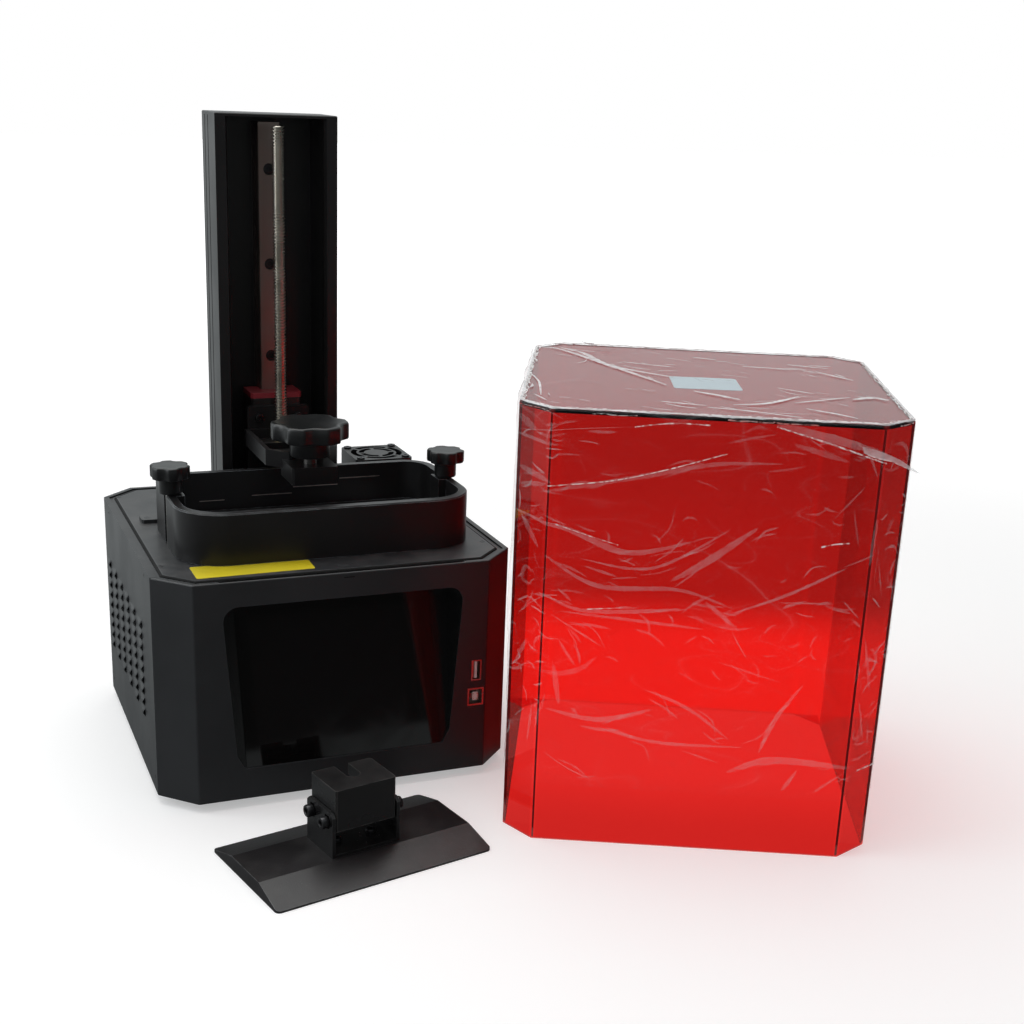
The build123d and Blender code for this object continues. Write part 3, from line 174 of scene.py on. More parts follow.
class StageSettings(bpy.types.PropertyGroup):
    """Light round the printer."""
    ceiling: watts("Ceiling light", "Power of the large lamp overhead", 13.0)
    side: watts("Side light", "Power of the lamp on the left", 7.0)
    fill: watts("Front fill", "Power of the lamp in front", 1.5)
    room: factor("Room light", "Strength of the even light from all round", 0.42)
    floor_front: factor("Floor mirrored in front", "How bright gloss sees the floor in front", 0.05)
    floor_back: factor("Floor mirrored behind", "How bright gloss sees the floor behind", 0.55)
    floor_near: factor("Floor through the cover", "How bright the near floor shows through", 1.19)
    floor_far: factor("Far floor through the cover", "How bright the far floor shows through", 0.95)


# ------------------------------------------------------------------ node helpers

def rgba(values, scale=1.0):
    return (*(v * scale for v in values), 1.0)


class Net:
    """A shader node tree, with a short call for each kind of node that the finishes use."""

    def __init__(self, tree):
        self.tree = tree

    def feed(self, value, socket):
        """Links a socket to another, or sets its value."""
        if isinstance(value, bpy.types.NodeSocket):
            self.tree.links.new(value, socket)
        else:
            socket.default_value = value

    def node(self, kind, inputs=(), **values):
        """A shader node with its settings, and values or links for its inputs."""
        made = self.tree.nodes.new("ShaderNode" + kind)
        for key, value in values.items():
            setattr(made, key, value)
        for key, value in dict(inputs).items():
            self.feed(value, made.inputs[key])
        return made

    def math(self, operation, a, b=0.0, clamp=False):
        return self.node("Math", {0: a, 1: b}, operation=operation, use_clamp=clamp).outputs[0]

    def times(self, a, b, clamp=False):
        return self.math("MULTIPLY", a, b, clamp)

    def plus(self, a, b, clamp=False):
        return self.math("ADD", a, b, clamp)

    def less(self, a, b, clamp=False):
        return self.math("SUBTRACT", a, b, clamp)

    def apart(self, a, b):
        """How far a is from b, either way."""
        return self.math("ABSOLUTE", self.less(a, b))

    def vector(self, operation, a, b=(0, 0, 0)):
        return self.node("VectorMath", {0: a, 1: b}, operation=operation).outputs

    def ramp(self, value, low, high, to_low=0.0, to_high=1.0):
        """value carried smoothly from low..high to another range; each end may be a socket."""
        ends = {"Value": value, "From Min": low, "From Max": high, "To Min": to_low, "To Max": to_high}
        return self.node("MapRange", ends, interpolation_type="SMOOTHSTEP").outputs["Result"]

    def blend(self, share, a, b):
        """Colour a where share is 0 and b where it is 1."""
        return self.node("Mix", {0: share, 6: a, 7: b}, data_type="RGBA").outputs[2]

    def spot(self):
        return self.node("TexCoord").outputs["Object"]

    def normal(self):
        return self.node("NewGeometry").outputs["Normal"]

    def parts(self, vector):
        return self.node("SeparateXYZ", {0: vector}).outputs

    def clouds(self, spot, scale, detail, **more):
        """Noise of one scale and detail; more are its Roughness and Distortion."""
        given = {"Vector": spot, "Scale": scale, "Detail": detail, **more}
        return self.node("TexNoise", given).outputs["Fac"]

    def in_cover(self, spot):
        """The parts of a point as seen from the cover's own middle and turn."""
        place = {"Vector": spot, "Location": COVER_FRAME.translation, "Rotation": (0, 0, COVER_TURN)}
        return self.parts(self.node("Mapping", place, vector_type="TEXTURE").outputs[0])

    def field(self, node, margins, soft):
        """1 on a node's face within margins and 0 outside. margins: each axis' margin and shift."""
        low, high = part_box(node)
        parts, share = self.parts(self.spot()), 1.0
        for axis, (margin, shift) in margins.items():
            i = "XYZ".index(axis)
            half = (high[i] - low[i]) / 2 - margin
            off = self.apart(parts[axis], (low[i] + high[i]) / 2 + shift)
            share = self.times(share, self.ramp(off, half, half - soft))
        return share

    def shaded(self, kind, colour, strength):
        """An Emission or a Background shader."""
        return self.node(kind, {"Color": colour, "Strength": strength}).outputs[0]

    def mixed(self, share, a, b):
        """Shader a where share is 0 and b where it is 1."""
        return self.node("MixShader", {0: share, 1: a, 2: b}).outputs[0]

    def shared(self, name, **values):
        """One of the shared effects placed in this tree, with its own values."""
        made = self.node("Group", node_tree=effect(name))
        for key, value in values.items():
            made.inputs[key.replace("_", " ")].default_value = value
        return made.outputs


class Finish(Net):
    """A material with one Principled BSDF, and that shader's plain values."""

    def __init__(self, name, **values):
        self.material = bpy.data.materials.new(name)
        self.material.use_nodes = True
        super().__init__(self.material.node_tree)
        self.tree.nodes.clear()
        self.shader = self.node("BsdfPrincipled")
        self.out = self.node("OutputMaterial", {0: self.shader.outputs[0]})
        self.set(**values)

    def set(self, **values):
        for key, value in values.items():
            self.feed(value, self.shader.inputs[key.replace("_", " ")])

    def bump(self, height, distance):
        self.set(Normal=self.node("Bump", {"Height": height, "Distance": distance}).outputs[0])

    def turn_to(self, share, colour, rough):
        """Where share is 1 the finish takes this colour and this roughness."""
        base, gloss = (self.shader.inputs[key].links[0].from_socket for key in ("Base Color", "Roughness"))
        change = self.times(share, self.less(gloss, rough))
        self.set(Base_Color=self.blend(share, base, rgba(colour)), Roughness=self.less(gloss, change))


# ------------------------------------------------------------------ shared effects

def new_effect(name, inputs, outputs):
    """An empty node group: its net, what comes in and where it goes out."""
    net = Net(bpy.data.node_groups.new(name, "ShaderNodeTree"))
    for key, value in inputs.items():
        kind = "NodeSocketVector" if isinstance(value, tuple) else "NodeSocketFloat"
        made = net.tree.interface.new_socket(name=key, in_out="INPUT", socket_type=kind)
        made.default_value = value
    for key in outputs:
        net.tree.interface.new_socket(name=key, in_out="OUTPUT", socket_type="NodeSocketFloat")
    return net, net.tree.nodes.new("NodeGroupInput").outputs, net.tree.nodes.new("NodeGroupOutput").inputs


def surface_grain(name):
    """Fine moulded or coated grain: a height, and a broad unevenness of the finish."""
    net, given, out = new_effect(name, {"Scale": 1500.0, "Patch Scale": 14.0}, ("Height", "Patches"))
    spot = net.spot()
    net.feed(net.clouds(spot, given["Scale"], 2.0, Roughness=0.6), out["Height"])
    broad = net.clouds(spot, given["Patch Scale"], 3.0, Roughness=0.55)
    net.feed(net.ramp(broad, 0.3, 0.7), out["Patches"])
    return net.tree


def edge_rub_and_highlight(name):
    """Where a corner is lighter: the share of wear, and of painted highlight, along convex edges."""
    net, given, out = new_effect(name, {"Radius": 0.0006, "Amount": 0.5}, ("Mask",))
    bevel = net.node("Bevel", {"Radius": given["Radius"]}, samples=4).outputs["Normal"]
    mask = net.ramp(net.vector("DOT_PRODUCT", bevel, net.normal())["Value"], 0.995, 0.86)
    mask = net.times(mask, net.ramp(net.clouds(net.spot(), 130.0, 3.0), 0.28, 0.62))
    net.feed(net.times(mask, given["Amount"], True), out["Mask"])
    return net.tree


def settled_dust(name):
    """Specks and a thin haze on faces that look up."""
    net, given, out = new_effect(name, {"Amount": 0.5, "Speck Scale": 700.0}, ("Mask",))
    up = net.ramp(net.parts(net.normal())["Z"], 0.4, 0.95)
    spot = net.spot()
    haze = net.times(net.ramp(net.clouds(spot, 26.0, 5.0, Roughness=0.7), 0.4, 0.75), 0.35)
    specks = net.node("TexVoronoi", {"Vector": spot, "Scale": given["Speck Scale"]}).outputs["Distance"]
    seldom = net.ramp(net.clouds(spot, 210.0, 0.0), 0.58, 0.70)
    dust = net.times(net.plus(haze, net.times(net.ramp(specks, 0.22, 0.08), seldom), True), up)
    net.feed(net.times(dust, given["Amount"], True), out["Mask"])
    return net.tree


def ground_lines(name):
    """Fine lines left by grinding or drawing along one direction."""
    net, given, out = new_effect(name, {"Stretch": (0, 0, 0), "Scale": 900.0}, ("Height", "Streaks"))
    drawn = net.vector("MULTIPLY", net.spot(), given["Stretch"])[0]
    net.feed(net.clouds(drawn, given["Scale"], 3.0, Roughness=0.7), out["Height"])
    net.feed(net.ramp(net.clouds(drawn, 60.0, 2.0), 0.3, 0.7), out["Streaks"])
    return net.tree


def film_creases(name):
    """Broken curved lines where a thin film has creased, and soft bands beside them."""
    net, given, out = new_effect(name, {"Scale": 16.0, "Line": 0.012}, ("Mask", "Bands", "Height"))
    pulled = net.vector("MULTIPLY", net.spot(), (0.55, 0.55, 1.5))[0]
    lines, bands = 0.0, 0.0
    for scale, offset, share, width in ((1.0, 0.0, 1.0, 1.0), (1.7, 3.7, 0.9, 1.3), (3.1, 8.1, 0.75, 1.9),
                                        (6.5, 5.3, 0.5, 3.2)):
        size = net.times(given["Scale"], scale)
        moved = net.vector("ADD", pulled, (offset, offset * 0.7, -offset))[0]
        away = net.apart(net.clouds(moved, size, 0.6, Roughness=0.4, Distortion=0.25), 0.5)
        kept = net.times(net.ramp(net.clouds(moved, net.times(size, 1.2), 1.0), 0.40, 0.64), share)
        line = net.less(1.0, net.math("DIVIDE", away, net.times(given["Line"], width)), True)
        band = net.ramp(away, net.times(given["Line"], width * 7.0), 0.0)
        lines = net.math("MAXIMUM", lines, net.times(line, kept))
        bands = net.math("MAXIMUM", bands, net.times(band, kept))
    net.feed(lines, out["Mask"])
    net.feed(bands, out["Bands"])
    net.feed(net.plus(net.times(bands, 0.6), net.times(lines, 0.4)), out["Height"])
    return net.tree


@cache
def effect(name):
    """Each shared effect is built once."""
    makers = {"Surface Grain": surface_grain, "Edge Rub": edge_rub_and_highlight, "Settled Dust": settled_dust,
              "Ground Lines": ground_lines, "Film Creases": film_creases}
    return makers[name](name)


# ------------------------------------------------------------------ finishes

DUST = (0.23, 0.22, 0.21, 1)


def coated(name, colour, rough=0.40, grain=1500.0, depth=0.00006, rub=0.5, rub_and_highlight_radius=0.0006, dust=0.4,
           spread=0.12, rub_colour=None, **values):
    """A coated or moulded finish: grain, uneven gloss, edges lightened by wear and by a painted highlight,
    and a little dust.
    """
    made = Finish(name, **values)
    texture = made.shared("Surface Grain", Scale=grain, Patch_Scale=14.0)
    worn_and_lit_edges = made.shared("Edge Rub", Radius=rub_and_highlight_radius, Amount=rub)["Mask"]
    dusty = made.shared("Settled Dust", Amount=dust)["Mask"]
    base = made.blend(texture["Patches"], rgba(colour, 1 - spread), rgba(colour, 1 + spread))
    # lighter edges: partly wear, partly a painted highlight
    base = made.blend(worn_and_lit_edges, base, rgba(rub_colour or [c * 3.2 + 0.01 for c in colour]))
    gloss = made.ramp(texture["Patches"], 0, 1, rough - 0.04, rough + 0.04)
    made.set(Base_Color=made.blend(dusty, base, DUST),
             Roughness=made.plus(gloss, made.times(dusty, 0.25), True))
    made.bump(texture["Height"], depth)
    return made


def metal(name, colour, rough, stretch, scale=900.0, metallic=1.0):
    """A bare or plated metal with the lines of its grinding, and edges lightened by wear and by a painted
    highlight.
    """
    made = Finish(name, Metallic=metallic)
    lines = made.shared("Ground Lines", Stretch=stretch, Scale=scale)
    patches = made.shared("Surface Grain", Scale=1500.0, Patch_Scale=40.0)["Patches"]
    worn_and_lit_edges = made.shared("Edge Rub", Radius=0.0004, Amount=0.4)["Mask"]
    base = made.blend(lines["Streaks"], rgba(colour, 0.86), rgba(colour, 1.08))
    # lighter edges: partly wear, partly a painted highlight
    base = made.blend(worn_and_lit_edges, base, rgba([min(1, c * 1.5 + 0.05) for c in colour]))
    made.set(Base_Color=base, Roughness=made.ramp(patches, 0, 1, rough - 0.05, rough + 0.07))
    made.bump(lines["Height"], 0.00003)
    return made


def front_glass(name):
    """Black cover glass: a printed border, and the display's slightly lighter field behind it."""
    made = Finish(name, IOR=1.52)
    field = made.field("touch_glass", {"X": (0.0075, 0), "Z": (0.0085, 0.0015)}, 0.0004)
    smear = made.clouds(made.spot(), 22.0, 5.0, Distortion=1.2)
    made.set(Base_Color=made.blend(field, (0.0032, 0.0030, 0.0030, 1), (0.0048, 0.0043, 0.0044, 1)),
             Roughness=made.ramp(smear, 0.45, 0.75, 0.03, 0.11))
    return made


def exposure_glass(name):
    """The masking screen: dark polished glass with the taped border round its light field."""
    made = Finish(name, IOR=1.5)
    field = made.field("exposure_screen", {"X": (0.0045, 0), "Y": (0.0045, 0)}, 0.0003)
    made.set(Base_Color=made.blend(field, (0.008, 0.008, 0.009, 1), (0.020, 0.024, 0.034, 1)),
             Roughness=made.less(0.5, made.times(field, 0.42)))
    made.bump(made.clouds(made.spot(), 1400.0, 1.0), 0.00001)
    return made


def release_film(name):
    """The clear release film across the vat's window."""
    made = Finish(name, IOR=1.35)
    patches = made.shared("Surface Grain", Scale=900.0, Patch_Scale=30.0)["Patches"]
    made.set(Base_Color=made.blend(patches, (0.68, 0.72, 0.76, 1), (0.80, 0.83, 0.86, 1)),
             Alpha=made.ramp(patches, 0, 1, 0.10, 0.20), Roughness=made.ramp(patches, 0, 1, 0.08, 0.16))
    return made


def red_acrylic(name):
    """Tinted sheet, polished, with faint handling marks and a dull red glow painted as emission along its
    upright bends.
    """
    tint = bpy.context.scene.printer_finish.acrylic
    made = Finish(name, Transmission_Weight=1.0, IOR=1.49, Emission_Strength=1.0)
    patches = made.shared("Surface Grain", Scale=500.0, Patch_Scale=9.0)["Patches"]
    parts = made.in_cover(made.spot())
    x, y = (made.math("ABSOLUTE", parts[axis]) for axis in "XY")
    far = made.less(made.math("MAXIMUM", x, y), COVER_HALF)
    near = made.less(made.math("MINIMUM", x, y), COVER_HALF - COVER_LEG)
    bend = made.math("SQRT", made.plus(made.times(far, far), made.times(near, near)))
    # painted glow: an emission colour that lightens the upright bends
    glow = made.blend(made.ramp(bend, 0.0028, 0.0010), (0, 0, 0, 1), (0.07, 0.002, 0.002, 1))
    made.set(Base_Color=made.blend(patches, rgba(tint, 0.97), rgba(tint)),
             Roughness=made.ramp(patches, 0, 1, 0.004, 0.02), Emission_Color=glow)
    clear = made.node("BsdfTransparent", {"Color": rgba([sqrt(v) for v in tint])}).outputs[0]
    shadow = made.node("LightPath").outputs["Is Shadow Ray"]
    made.feed(made.mixed(shadow, made.shader.outputs[0], clear), made.out.inputs[0])
    return made


def protective_film(name):
    """Thin clear film: almost unseen where it lies flat, milky along its creases and over the top."""
    made = Finish(name, IOR=1.45)
    creases = made.shared("Film Creases", Scale=11.0, Line=0.0028)
    roof = top_of("cover")
    top = made.ramp(made.parts(made.spot())["Z"], roof - 0.0006, roof + 0.0002)
    edge_on = made.math("POWER", made.node("LayerWeight", {"Blend": 0.5}).outputs["Facing"], 9.0)
    haze = 0.005
    for mask, share in ((top, 0.035), (creases["Bands"], 0.010), (creases["Mask"], 0.05)):
        haze = made.plus(haze, made.times(mask, share))
    haze = made.plus(haze, made.times(edge_on, 0.5), True)
    made.set(Base_Color=made.blend(creases["Mask"], (0.66, 0.67, 0.69, 1), (0.92, 0.92, 0.93, 1)), Alpha=haze,
             Roughness=made.ramp(creases["Mask"], 0, 1, 0.12, 0.24))
    made.bump(creases["Height"], 0.0004)
    return made


def film_ridge(name):
    """The film where it is pinched up: its haze is set along each crease, and overlaps carry painted glints
    in white dashes.
    """
    made = Finish(name, Roughness=0.28, IOR=1.45)
    haze, dashed = (made.node("Attribute", attribute_name=key).outputs["Fac"] for key in ("haze", "dashed"))
    spot = made.spot()
    soft, fine = made.clouds(spot, 160.0, 2.0), made.clouds(spot, 420.0, 2.0)
    plain = made.times(haze, made.ramp(soft, 0.25, 0.7, 0.75, 1.25))
    broken = made.times(haze, made.ramp(fine, 0.40, 0.58, 0.22, 1.0))
    # whiter where a painted glint runs
    made.set(Base_Color=made.blend(dashed, (0.80, 0.79, 0.80, 1), (0.97, 0.96, 0.95, 1)),
             Alpha=made.plus(made.times(plain, made.less(1.0, dashed)), made.times(broken, dashed), True))
    made.bump(soft, 0.0002)
    return made


def label_stock(name):
    """Label stock, bare of any print, a little worn."""
    colour = bpy.context.scene.printer_finish.label if name == "label_yellow" else (0.50, 0.60, 0.65)
    made = Finish(name)
    texture = made.shared("Surface Grain", Scale=800.0, Patch_Scale=45.0)
    dusty = made.shared("Settled Dust", Amount=0.15, Speck_Scale=900.0)["Mask"]
    base = made.blend(texture["Patches"], rgba(colour, 0.93), rgba(colour))
    made.set(Base_Color=made.blend(dusty, base, (0.35, 0.33, 0.30, 1)),
             Roughness=made.ramp(texture["Patches"], 0, 1, 0.36, 0.48))
    made.bump(texture["Height"], 0.00001)
    return made


def deck_coat(name):
    """The deck's powder coat, with painted shade in the gap round its edge and a painted highlight on the
    corner inside that.
    """
    colour = [v * 1.1 for v in bpy.context.scene.printer_finish.powder_coat]
    made = coated(name, colour, 0.40, 1300.0, 0.00005, 0.5, dust=0.55)
    spot, heart = made.parts(made.spot()), middle("deck_plate")
    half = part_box("deck_plate")[1] - heart
    off_x, off_y = made.apart(spot["X"], heart.x), made.apart(spot["Y"], heart.y)
    cut = made.less(half.x + half.y - DECK_LEG, made.plus(off_x, off_y))
    inward = made.math("MINIMUM", made.less(half.x, off_x), made.less(half.y, off_y))
    inward = made.math("MINIMUM", inward, made.times(cut, sqrt(0.5)))
    # painted highlight along the deck's rounded edge
    made.turn_to(made.times(made.ramp(inward, 0.0022, 0.0018), 0.6), [v * 3 + 0.012 for v in colour], 0.36)
    # painted shade: the gap round the deck's edge is coloured near black
    made.turn_to(made.ramp(inward, 0.0016, 0.0013), (0.001, 0.001, 0.001), 0.95)
    return made


def fascia_coat(name):
    """The housing's powder coat; the lip sunk round the screen is made darker and glossier."""
    made = coated(name, bpy.context.scene.printer_finish.powder_coat, 0.40, 1300.0, 0.00005, 0.35)
    spot, front = made.parts(made.spot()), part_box("front_fascia")[0].y
    sunk = made.ramp(spot["Y"], front + 0.0006, front + 0.0012)
    within = made.ramp(made.apart(spot["X"], BASE.x), 0.076, 0.074)
    made.turn_to(made.times(sunk, within), (0.004, 0.004, 0.0042), 0.16)
    return made


OWN = {"front_glass": front_glass, "exposure_glass": exposure_glass, "release_film": release_film,
       "red_acrylic": red_acrylic, "protective_film": protective_film, "film_ridge": film_ridge,
       "label_yellow": label_stock, "label_white": label_stock, "deck_coat": deck_coat,
       "fascia_coat": fascia_coat}
# colour (or a setting and the share of it), then what coated takes: rough, grain, depth, and the amount and
# radius of edge wear with its painted highlight
COATS = {
    "powder_coat": (("powder_coat", 1), 0.40, 1300.0, 0.00005, 0.35),
    "vat_anodised": (("anodised", 1), 0.34, 2400.0, 0.00002, 0.9, 0.0005),
    "column_anodised": (("anodised", 1), 0.33, 2400.0, 0.00002, 0.35),
    "arm_anodised": (("anodised", 1), 0.33, 2000.0, 0.00003, 0.6),
    "head_anodised": (("anodised", 0.8), 0.30, 1700.0, 0.00005, 0.9),
    "bracket_coat": (("anodised", 0.8), 0.24, 1300.0, 0.00005, 0.8),
    "knob_plastic": (("moulded", 0.6), 0.33, 2600.0, 0.00002, 0.5, 0.0005),
    "fan_plastic": (("moulded", 0.9), 0.38, 2200.0, 0.00002, 0.3),
    "black_plastic": (("moulded", 0.8), 0.42, 2200.0, 0.00003, 0.2),
    "gloss_plastic": (("moulded", 0.6), 0.18, 900.0, 0.00001, 0.15),
    "rubber": ((0.012, 0.012, 0.012), 0.75, 1900.0, 0.00008, 0.15),
    "seal_plastic": (("seal", 1), 0.36, 1800.0, 0.00003, 0.3),
    "blasted_plate": (("blasted", 1), 0.33, 1100.0, 0.00009, 0.8, 0.0008),
    "board_mask": ((0.012, 0.075, 0.035), 0.35, 900.0, 0.00004, 0.2),
    "white_plastic": ((0.62, 0.62, 0.60), 0.40, 1500.0, 0.00002, 0.1),
}
# what else sets a coat apart
COAT_EXTRAS = {
    # the light edge colours below are partly wear and partly a painted highlight, most of all on the vat's
    # rim
    "vat_anodised": {"dust": 0.05, "rub_colour": (0.30, 0.33, 0.36), "Specular_IOR_Level": 0.36},
    "column_anodised": {"Specular_IOR_Level": 0.36},
    "arm_anodised": {"dust": 0.1, "Specular_IOR_Level": 0.36},
    "head_anodised": {"dust": 0.2, "rub_colour": (0.12, 0.115, 0.11)},
    "knob_plastic": {"dust": 0.1},
    "seal_plastic": {"rub_colour": (0.65, 0.12, 0.12)},
    "blasted_plate": {"dust": 0.25, "spread": 0.4, "rub_colour": (0.16, 0.165, 0.17)},
    "white_plastic": {"dust": 0.2, "spread": 0.04, "rub_colour": (0.7, 0.7, 0.68)},
}
# colour, roughness, how the grinding lines are stretched, and their scale
METALS = {
    "bright_steel": ((0.60, 0.56, 0.49), 0.27, (1, 1, 1), 700.0),
    "stud_steel": ((0.58, 0.57, 0.54), 0.30, (1, 1, 8), 500.0),
    # the clamp stud's steel, darkened as painted shade
    "shaded_steel": ((0.16, 0.155, 0.15), 0.34, (1, 1, 8), 500.0),
    "rail_steel": ((0.36, 0.30, 0.275), 0.40, (1, 1, 0.03), 1400.0),
    "block_steel": ((0.10, 0.095, 0.095), 0.38, (1, 1, 0.03), 1200.0),
    "zinc_sheet": ((0.52, 0.53, 0.55), 0.42, (1, 0.05, 1), 600.0),
    "socket_steel": ((0.62, 0.60, 0.57), 0.30, (1, 0.04, 1)),
    "black_oxide": ((0.055, 0.055, 0.058), 0.33, (1, 1, 1), 900.0, 0.9),
    "alloy_plain": ((0.66, 0.67, 0.69), 0.36, (0.04, 1, 1), 700.0),
    "brass": ((0.62, 0.46, 0.18), 0.32, (1, 1, 6), 600.0),
    "level_line": ((0.52, 0.46, 0.42), 0.35, (0.05, 1, 1)),
    "gold_contact": ((0.78, 0.56, 0.22), 0.25, (1, 0.05, 1)),
}


@cache
def finish(name):
    """Each finish is made once, from the tables or by its own function."""
    if name in OWN:
        return OWN[name](name).material
    if name in METALS:
        return metal(name, *METALS[name]).material
    colour, *rest = COATS[name]
    if isinstance(colour[0], str):
        setting, share = colour
        colour = [v * share for v in getattr(bpy.context.scene.printer_finish, setting)]
    return coated(name, colour, *rest, **COAT_EXTRAS.get(name, {})).material


def dress(look, *names):
    """Gives CAD nodes their finish."""
    for name in names:
        slots = NODES[name].material_slots
        if not slots:
            NODES[name].data.materials.append(finish(look))
        for slot in slots:
            slot.material = finish(look)


# ------------------------------------------------------------------ mesh helpers

def unit(value):
    return max(0.0, min(1.0, value))


def facing(spot, direction):
    """A matrix at spot whose +Z looks along direction."""
    return Matrix.Translation(spot) @ Vector(direction).to_track_quat("Z", "Y").to_matrix().to_4x4()


def hexagon(across):
    """The outline of a hexagon as a radius for each angle."""
    return lambda angle: across / 2 / cos((angle + pi / 6) % (pi / 3) - pi / 6)


def rounded_rectangle(w, h, r, steps=6):
    """A rectangle's outline about its middle, with round corners."""
    points = []
    for cx, cy, start in ((w / 2 - r, h / 2 - r, 0), (-w / 2 + r, h / 2 - r, 90),
                          (-w / 2 + r, -h / 2 + r, 180), (w / 2 - r, -h / 2 + r, 270)):
        for i in range(steps + 1):
            a = radians(start + 90 * i / steps)
            points.append((cx + r * cos(a), cy + r * sin(a)))
    return points


def lobes(radius, turn, count=6):
    """A hand knob's outline: a circle with scallops between rounded lobes."""
    cutter = 2.7 * radius / count
    reach = 0.87 * radius + cutter
    rounding = 0.10 * radius

    def outline(angle):
        step = 2 * pi / count
        off = (angle - turn + step / 2) % step - step / 2
        inside = cutter ** 2 - (reach * sin(off)) ** 2
        near = reach * cos(off) - sqrt(inside) if inside > 0 else radius * 1.4
        h = unit(0.5 + 0.5 * (near - radius) / rounding)
        return near * (1 - h) + radius * h - rounding * h * (1 - h)
    return outline


class Builder:
    """Collects the vertices and faces of one piece made of several forms."""

    def __init__(self, verts=(), faces=()):
        self.verts, self.faces = list(verts), list(faces)

    def rings(self, loops, cap_start=True):
        """Joins loops of equal length into a tube, closed at its end and, by default, at its start."""
        first, count = len(self.verts), len(loops[0])
        for loop in loops:
            self.verts.extend(loop)
        for r in range(len(loops) - 1):
            a, b = first + r * count, first + (r + 1) * count
            for i in range(count):
                j = (i + 1) % count
                self.faces.append((a + i, a + j, b + j, b + i))
        if cap_start:
            self.faces.append(tuple(range(first + count - 1, first - 1, -1)))
        self.faces.append(tuple(range(len(self.verts) - count, len(self.verts))))

    def turned(self, matrix, profile, sides=48):
        """A turned form along +Z of matrix. profile: (radius or a function of the angle, height) each."""
        loops = []
        for radius, z in profile:
            loop = []
            for angle in (2 * pi * i / sides for i in range(sides)):
                r = radius(angle) if callable(radius) else radius
                loop.append(matrix @ Vector((r * cos(angle), r * sin(angle), z)))
            loops.append(loop)
        self.rings(loops)

    def slab(self, matrix, outline, low, high, edge=0.0):
        """An outline in the plane raised from low to high, its upper edge broken by edge."""
        cx, cy = (sum(values) / len(outline) for values in zip(*outline))

        def level(z, inset):
            loop = []
            for x, y in outline:
                d = max(hypot(x - cx, y - cy), 1e-9)
                k = (d - inset) / d
                loop.append(matrix @ Vector((cx + (x - cx) * k, cy + (y - cy) * k, z)))
            return loop
        upper = [level(high - edge, 0), level(high, edge)] if edge else [level(high, 0)]
        self.rings([level(low, 0)] + upper)

    def plate(self, spot, way, size, radius, steps, thick, edge=0.0):
        """A small rounded plate standing off spot."""
        self.slab(facing(spot, way), rounded_rectangle(*size, radius, steps), 0, thick, edge)

    def cap_screw(self, spot, way, radius, height, socket):
        """A socket-head screw standing at spot: knurled side, broken edge and a hexagon socket."""
        inner = hexagon(socket)

        def knurl(angle):
            return radius * (0.985 + 0.015 * cos(24 * angle))
        self.turned(facing(spot, way), [
            (radius * 0.96, 0), (knurl, height * 0.06), (knurl, height * 0.86),
            (radius * 0.93, height * 0.97), (radius * 0.86, height), (lambda a: inner(a) * 1.06, height),
            (inner, height - 0.0002), (inner, height * 0.45), (socket * 0.2, height * 0.38)])

    def flush_screw(self, spot, way, radius, socket):
        """A countersunk screw set just into the face at spot."""
        inner = hexagon(socket)
        self.turned(facing(spot, way), [
            (radius * 0.7, -0.0004), (radius, -0.00002), (radius * 0.97, 0.00010),
            (lambda a: inner(a) * 1.05, 0.00012), (inner, 0.00006), (inner, -0.0003)], 36)

    def hand_knob(self, spot, neck_r, neck_h, radius, height, turn, bore, sides):
        """A moulded knob: neck, lobed head with rounded edges, and the bore of its stud."""
        shape, top, edge = lobes(radius, turn), neck_h + height, 0.055 * radius

        def off(inset):
            return lambda a: shape(a) - inset
        self.turned(Matrix.Translation(spot), [
            (bore, 0.008), (bore, 0.0), (neck_r - 0.0009, 0.0), (neck_r - 0.0003, 0.0003), (neck_r, 0.0011),
            (neck_r, neck_h - 0.0007), (neck_r + 0.0007, neck_h), (off(0.0014), neck_h),
            (off(0.0004), neck_h + 0.0004), (shape, neck_h + 0.0013), (shape, top - 1.3 * edge),
            (off(0.25 * edge), top - 0.6 * edge), (off(0.8 * edge), top - 0.16 * edge),
            (off(1.5 * edge), top), (off(2.6 * edge), top - 0.00005),
            (radius * 0.55, top - 0.0002), (radius * 0.2, top - 0.0001)], sides)

    def piece(self, name, look, body, slot=None, smooth=35.0, stands_for=()):
        """Makes the mesh object, which rides on a body of the printer."""
        mesh = bpy.data.meshes.new(name)
        mesh.from_pydata([tuple(v) for v in self.verts], [], self.faces)
        bm = bmesh.new()
        bm.from_mesh(mesh)
        bmesh.ops.recalc_face_normals(bm, faces=bm.faces)
        bm.to_mesh(mesh)
        bm.free()
        mesh.materials.append(finish(look))
        made = bpy.data.objects.new(name, mesh)
        bpy.context.scene.collection.objects.link(made)
        if smooth:
            for polygon in mesh.polygons:
                polygon.use_smooth = True
            mesh.set_sharp_from_angle(angle=radians(smooth))
        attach(made, body)
        if stands_for:
            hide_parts(*stands_for)
        return made


# ------------------------------------------------------------------ operators: housing

# a louvre from its thin end to its mouth: place behind the mouth, half height and rise, in mm
LOUVRE = ((16.9, 0.7, 0.00), (13.5, 1.5, 0.35), (10.0, 2.15, 0.75), (6.5, 2.75, 1.15), (3.2, 3.2, 1.46),
          (1.0, 3.3, 1.58), (0.0, 3.1, 1.50), (-0.35, 2.7, 1.30), (-0.30, 1.75, 1.08), (0.5, 1.5, 0.98),
          (6.0, 1.2, 0.45))
LOUVRE_PROUD = 0.0016      # how far the CAD louvres stand off the sheet


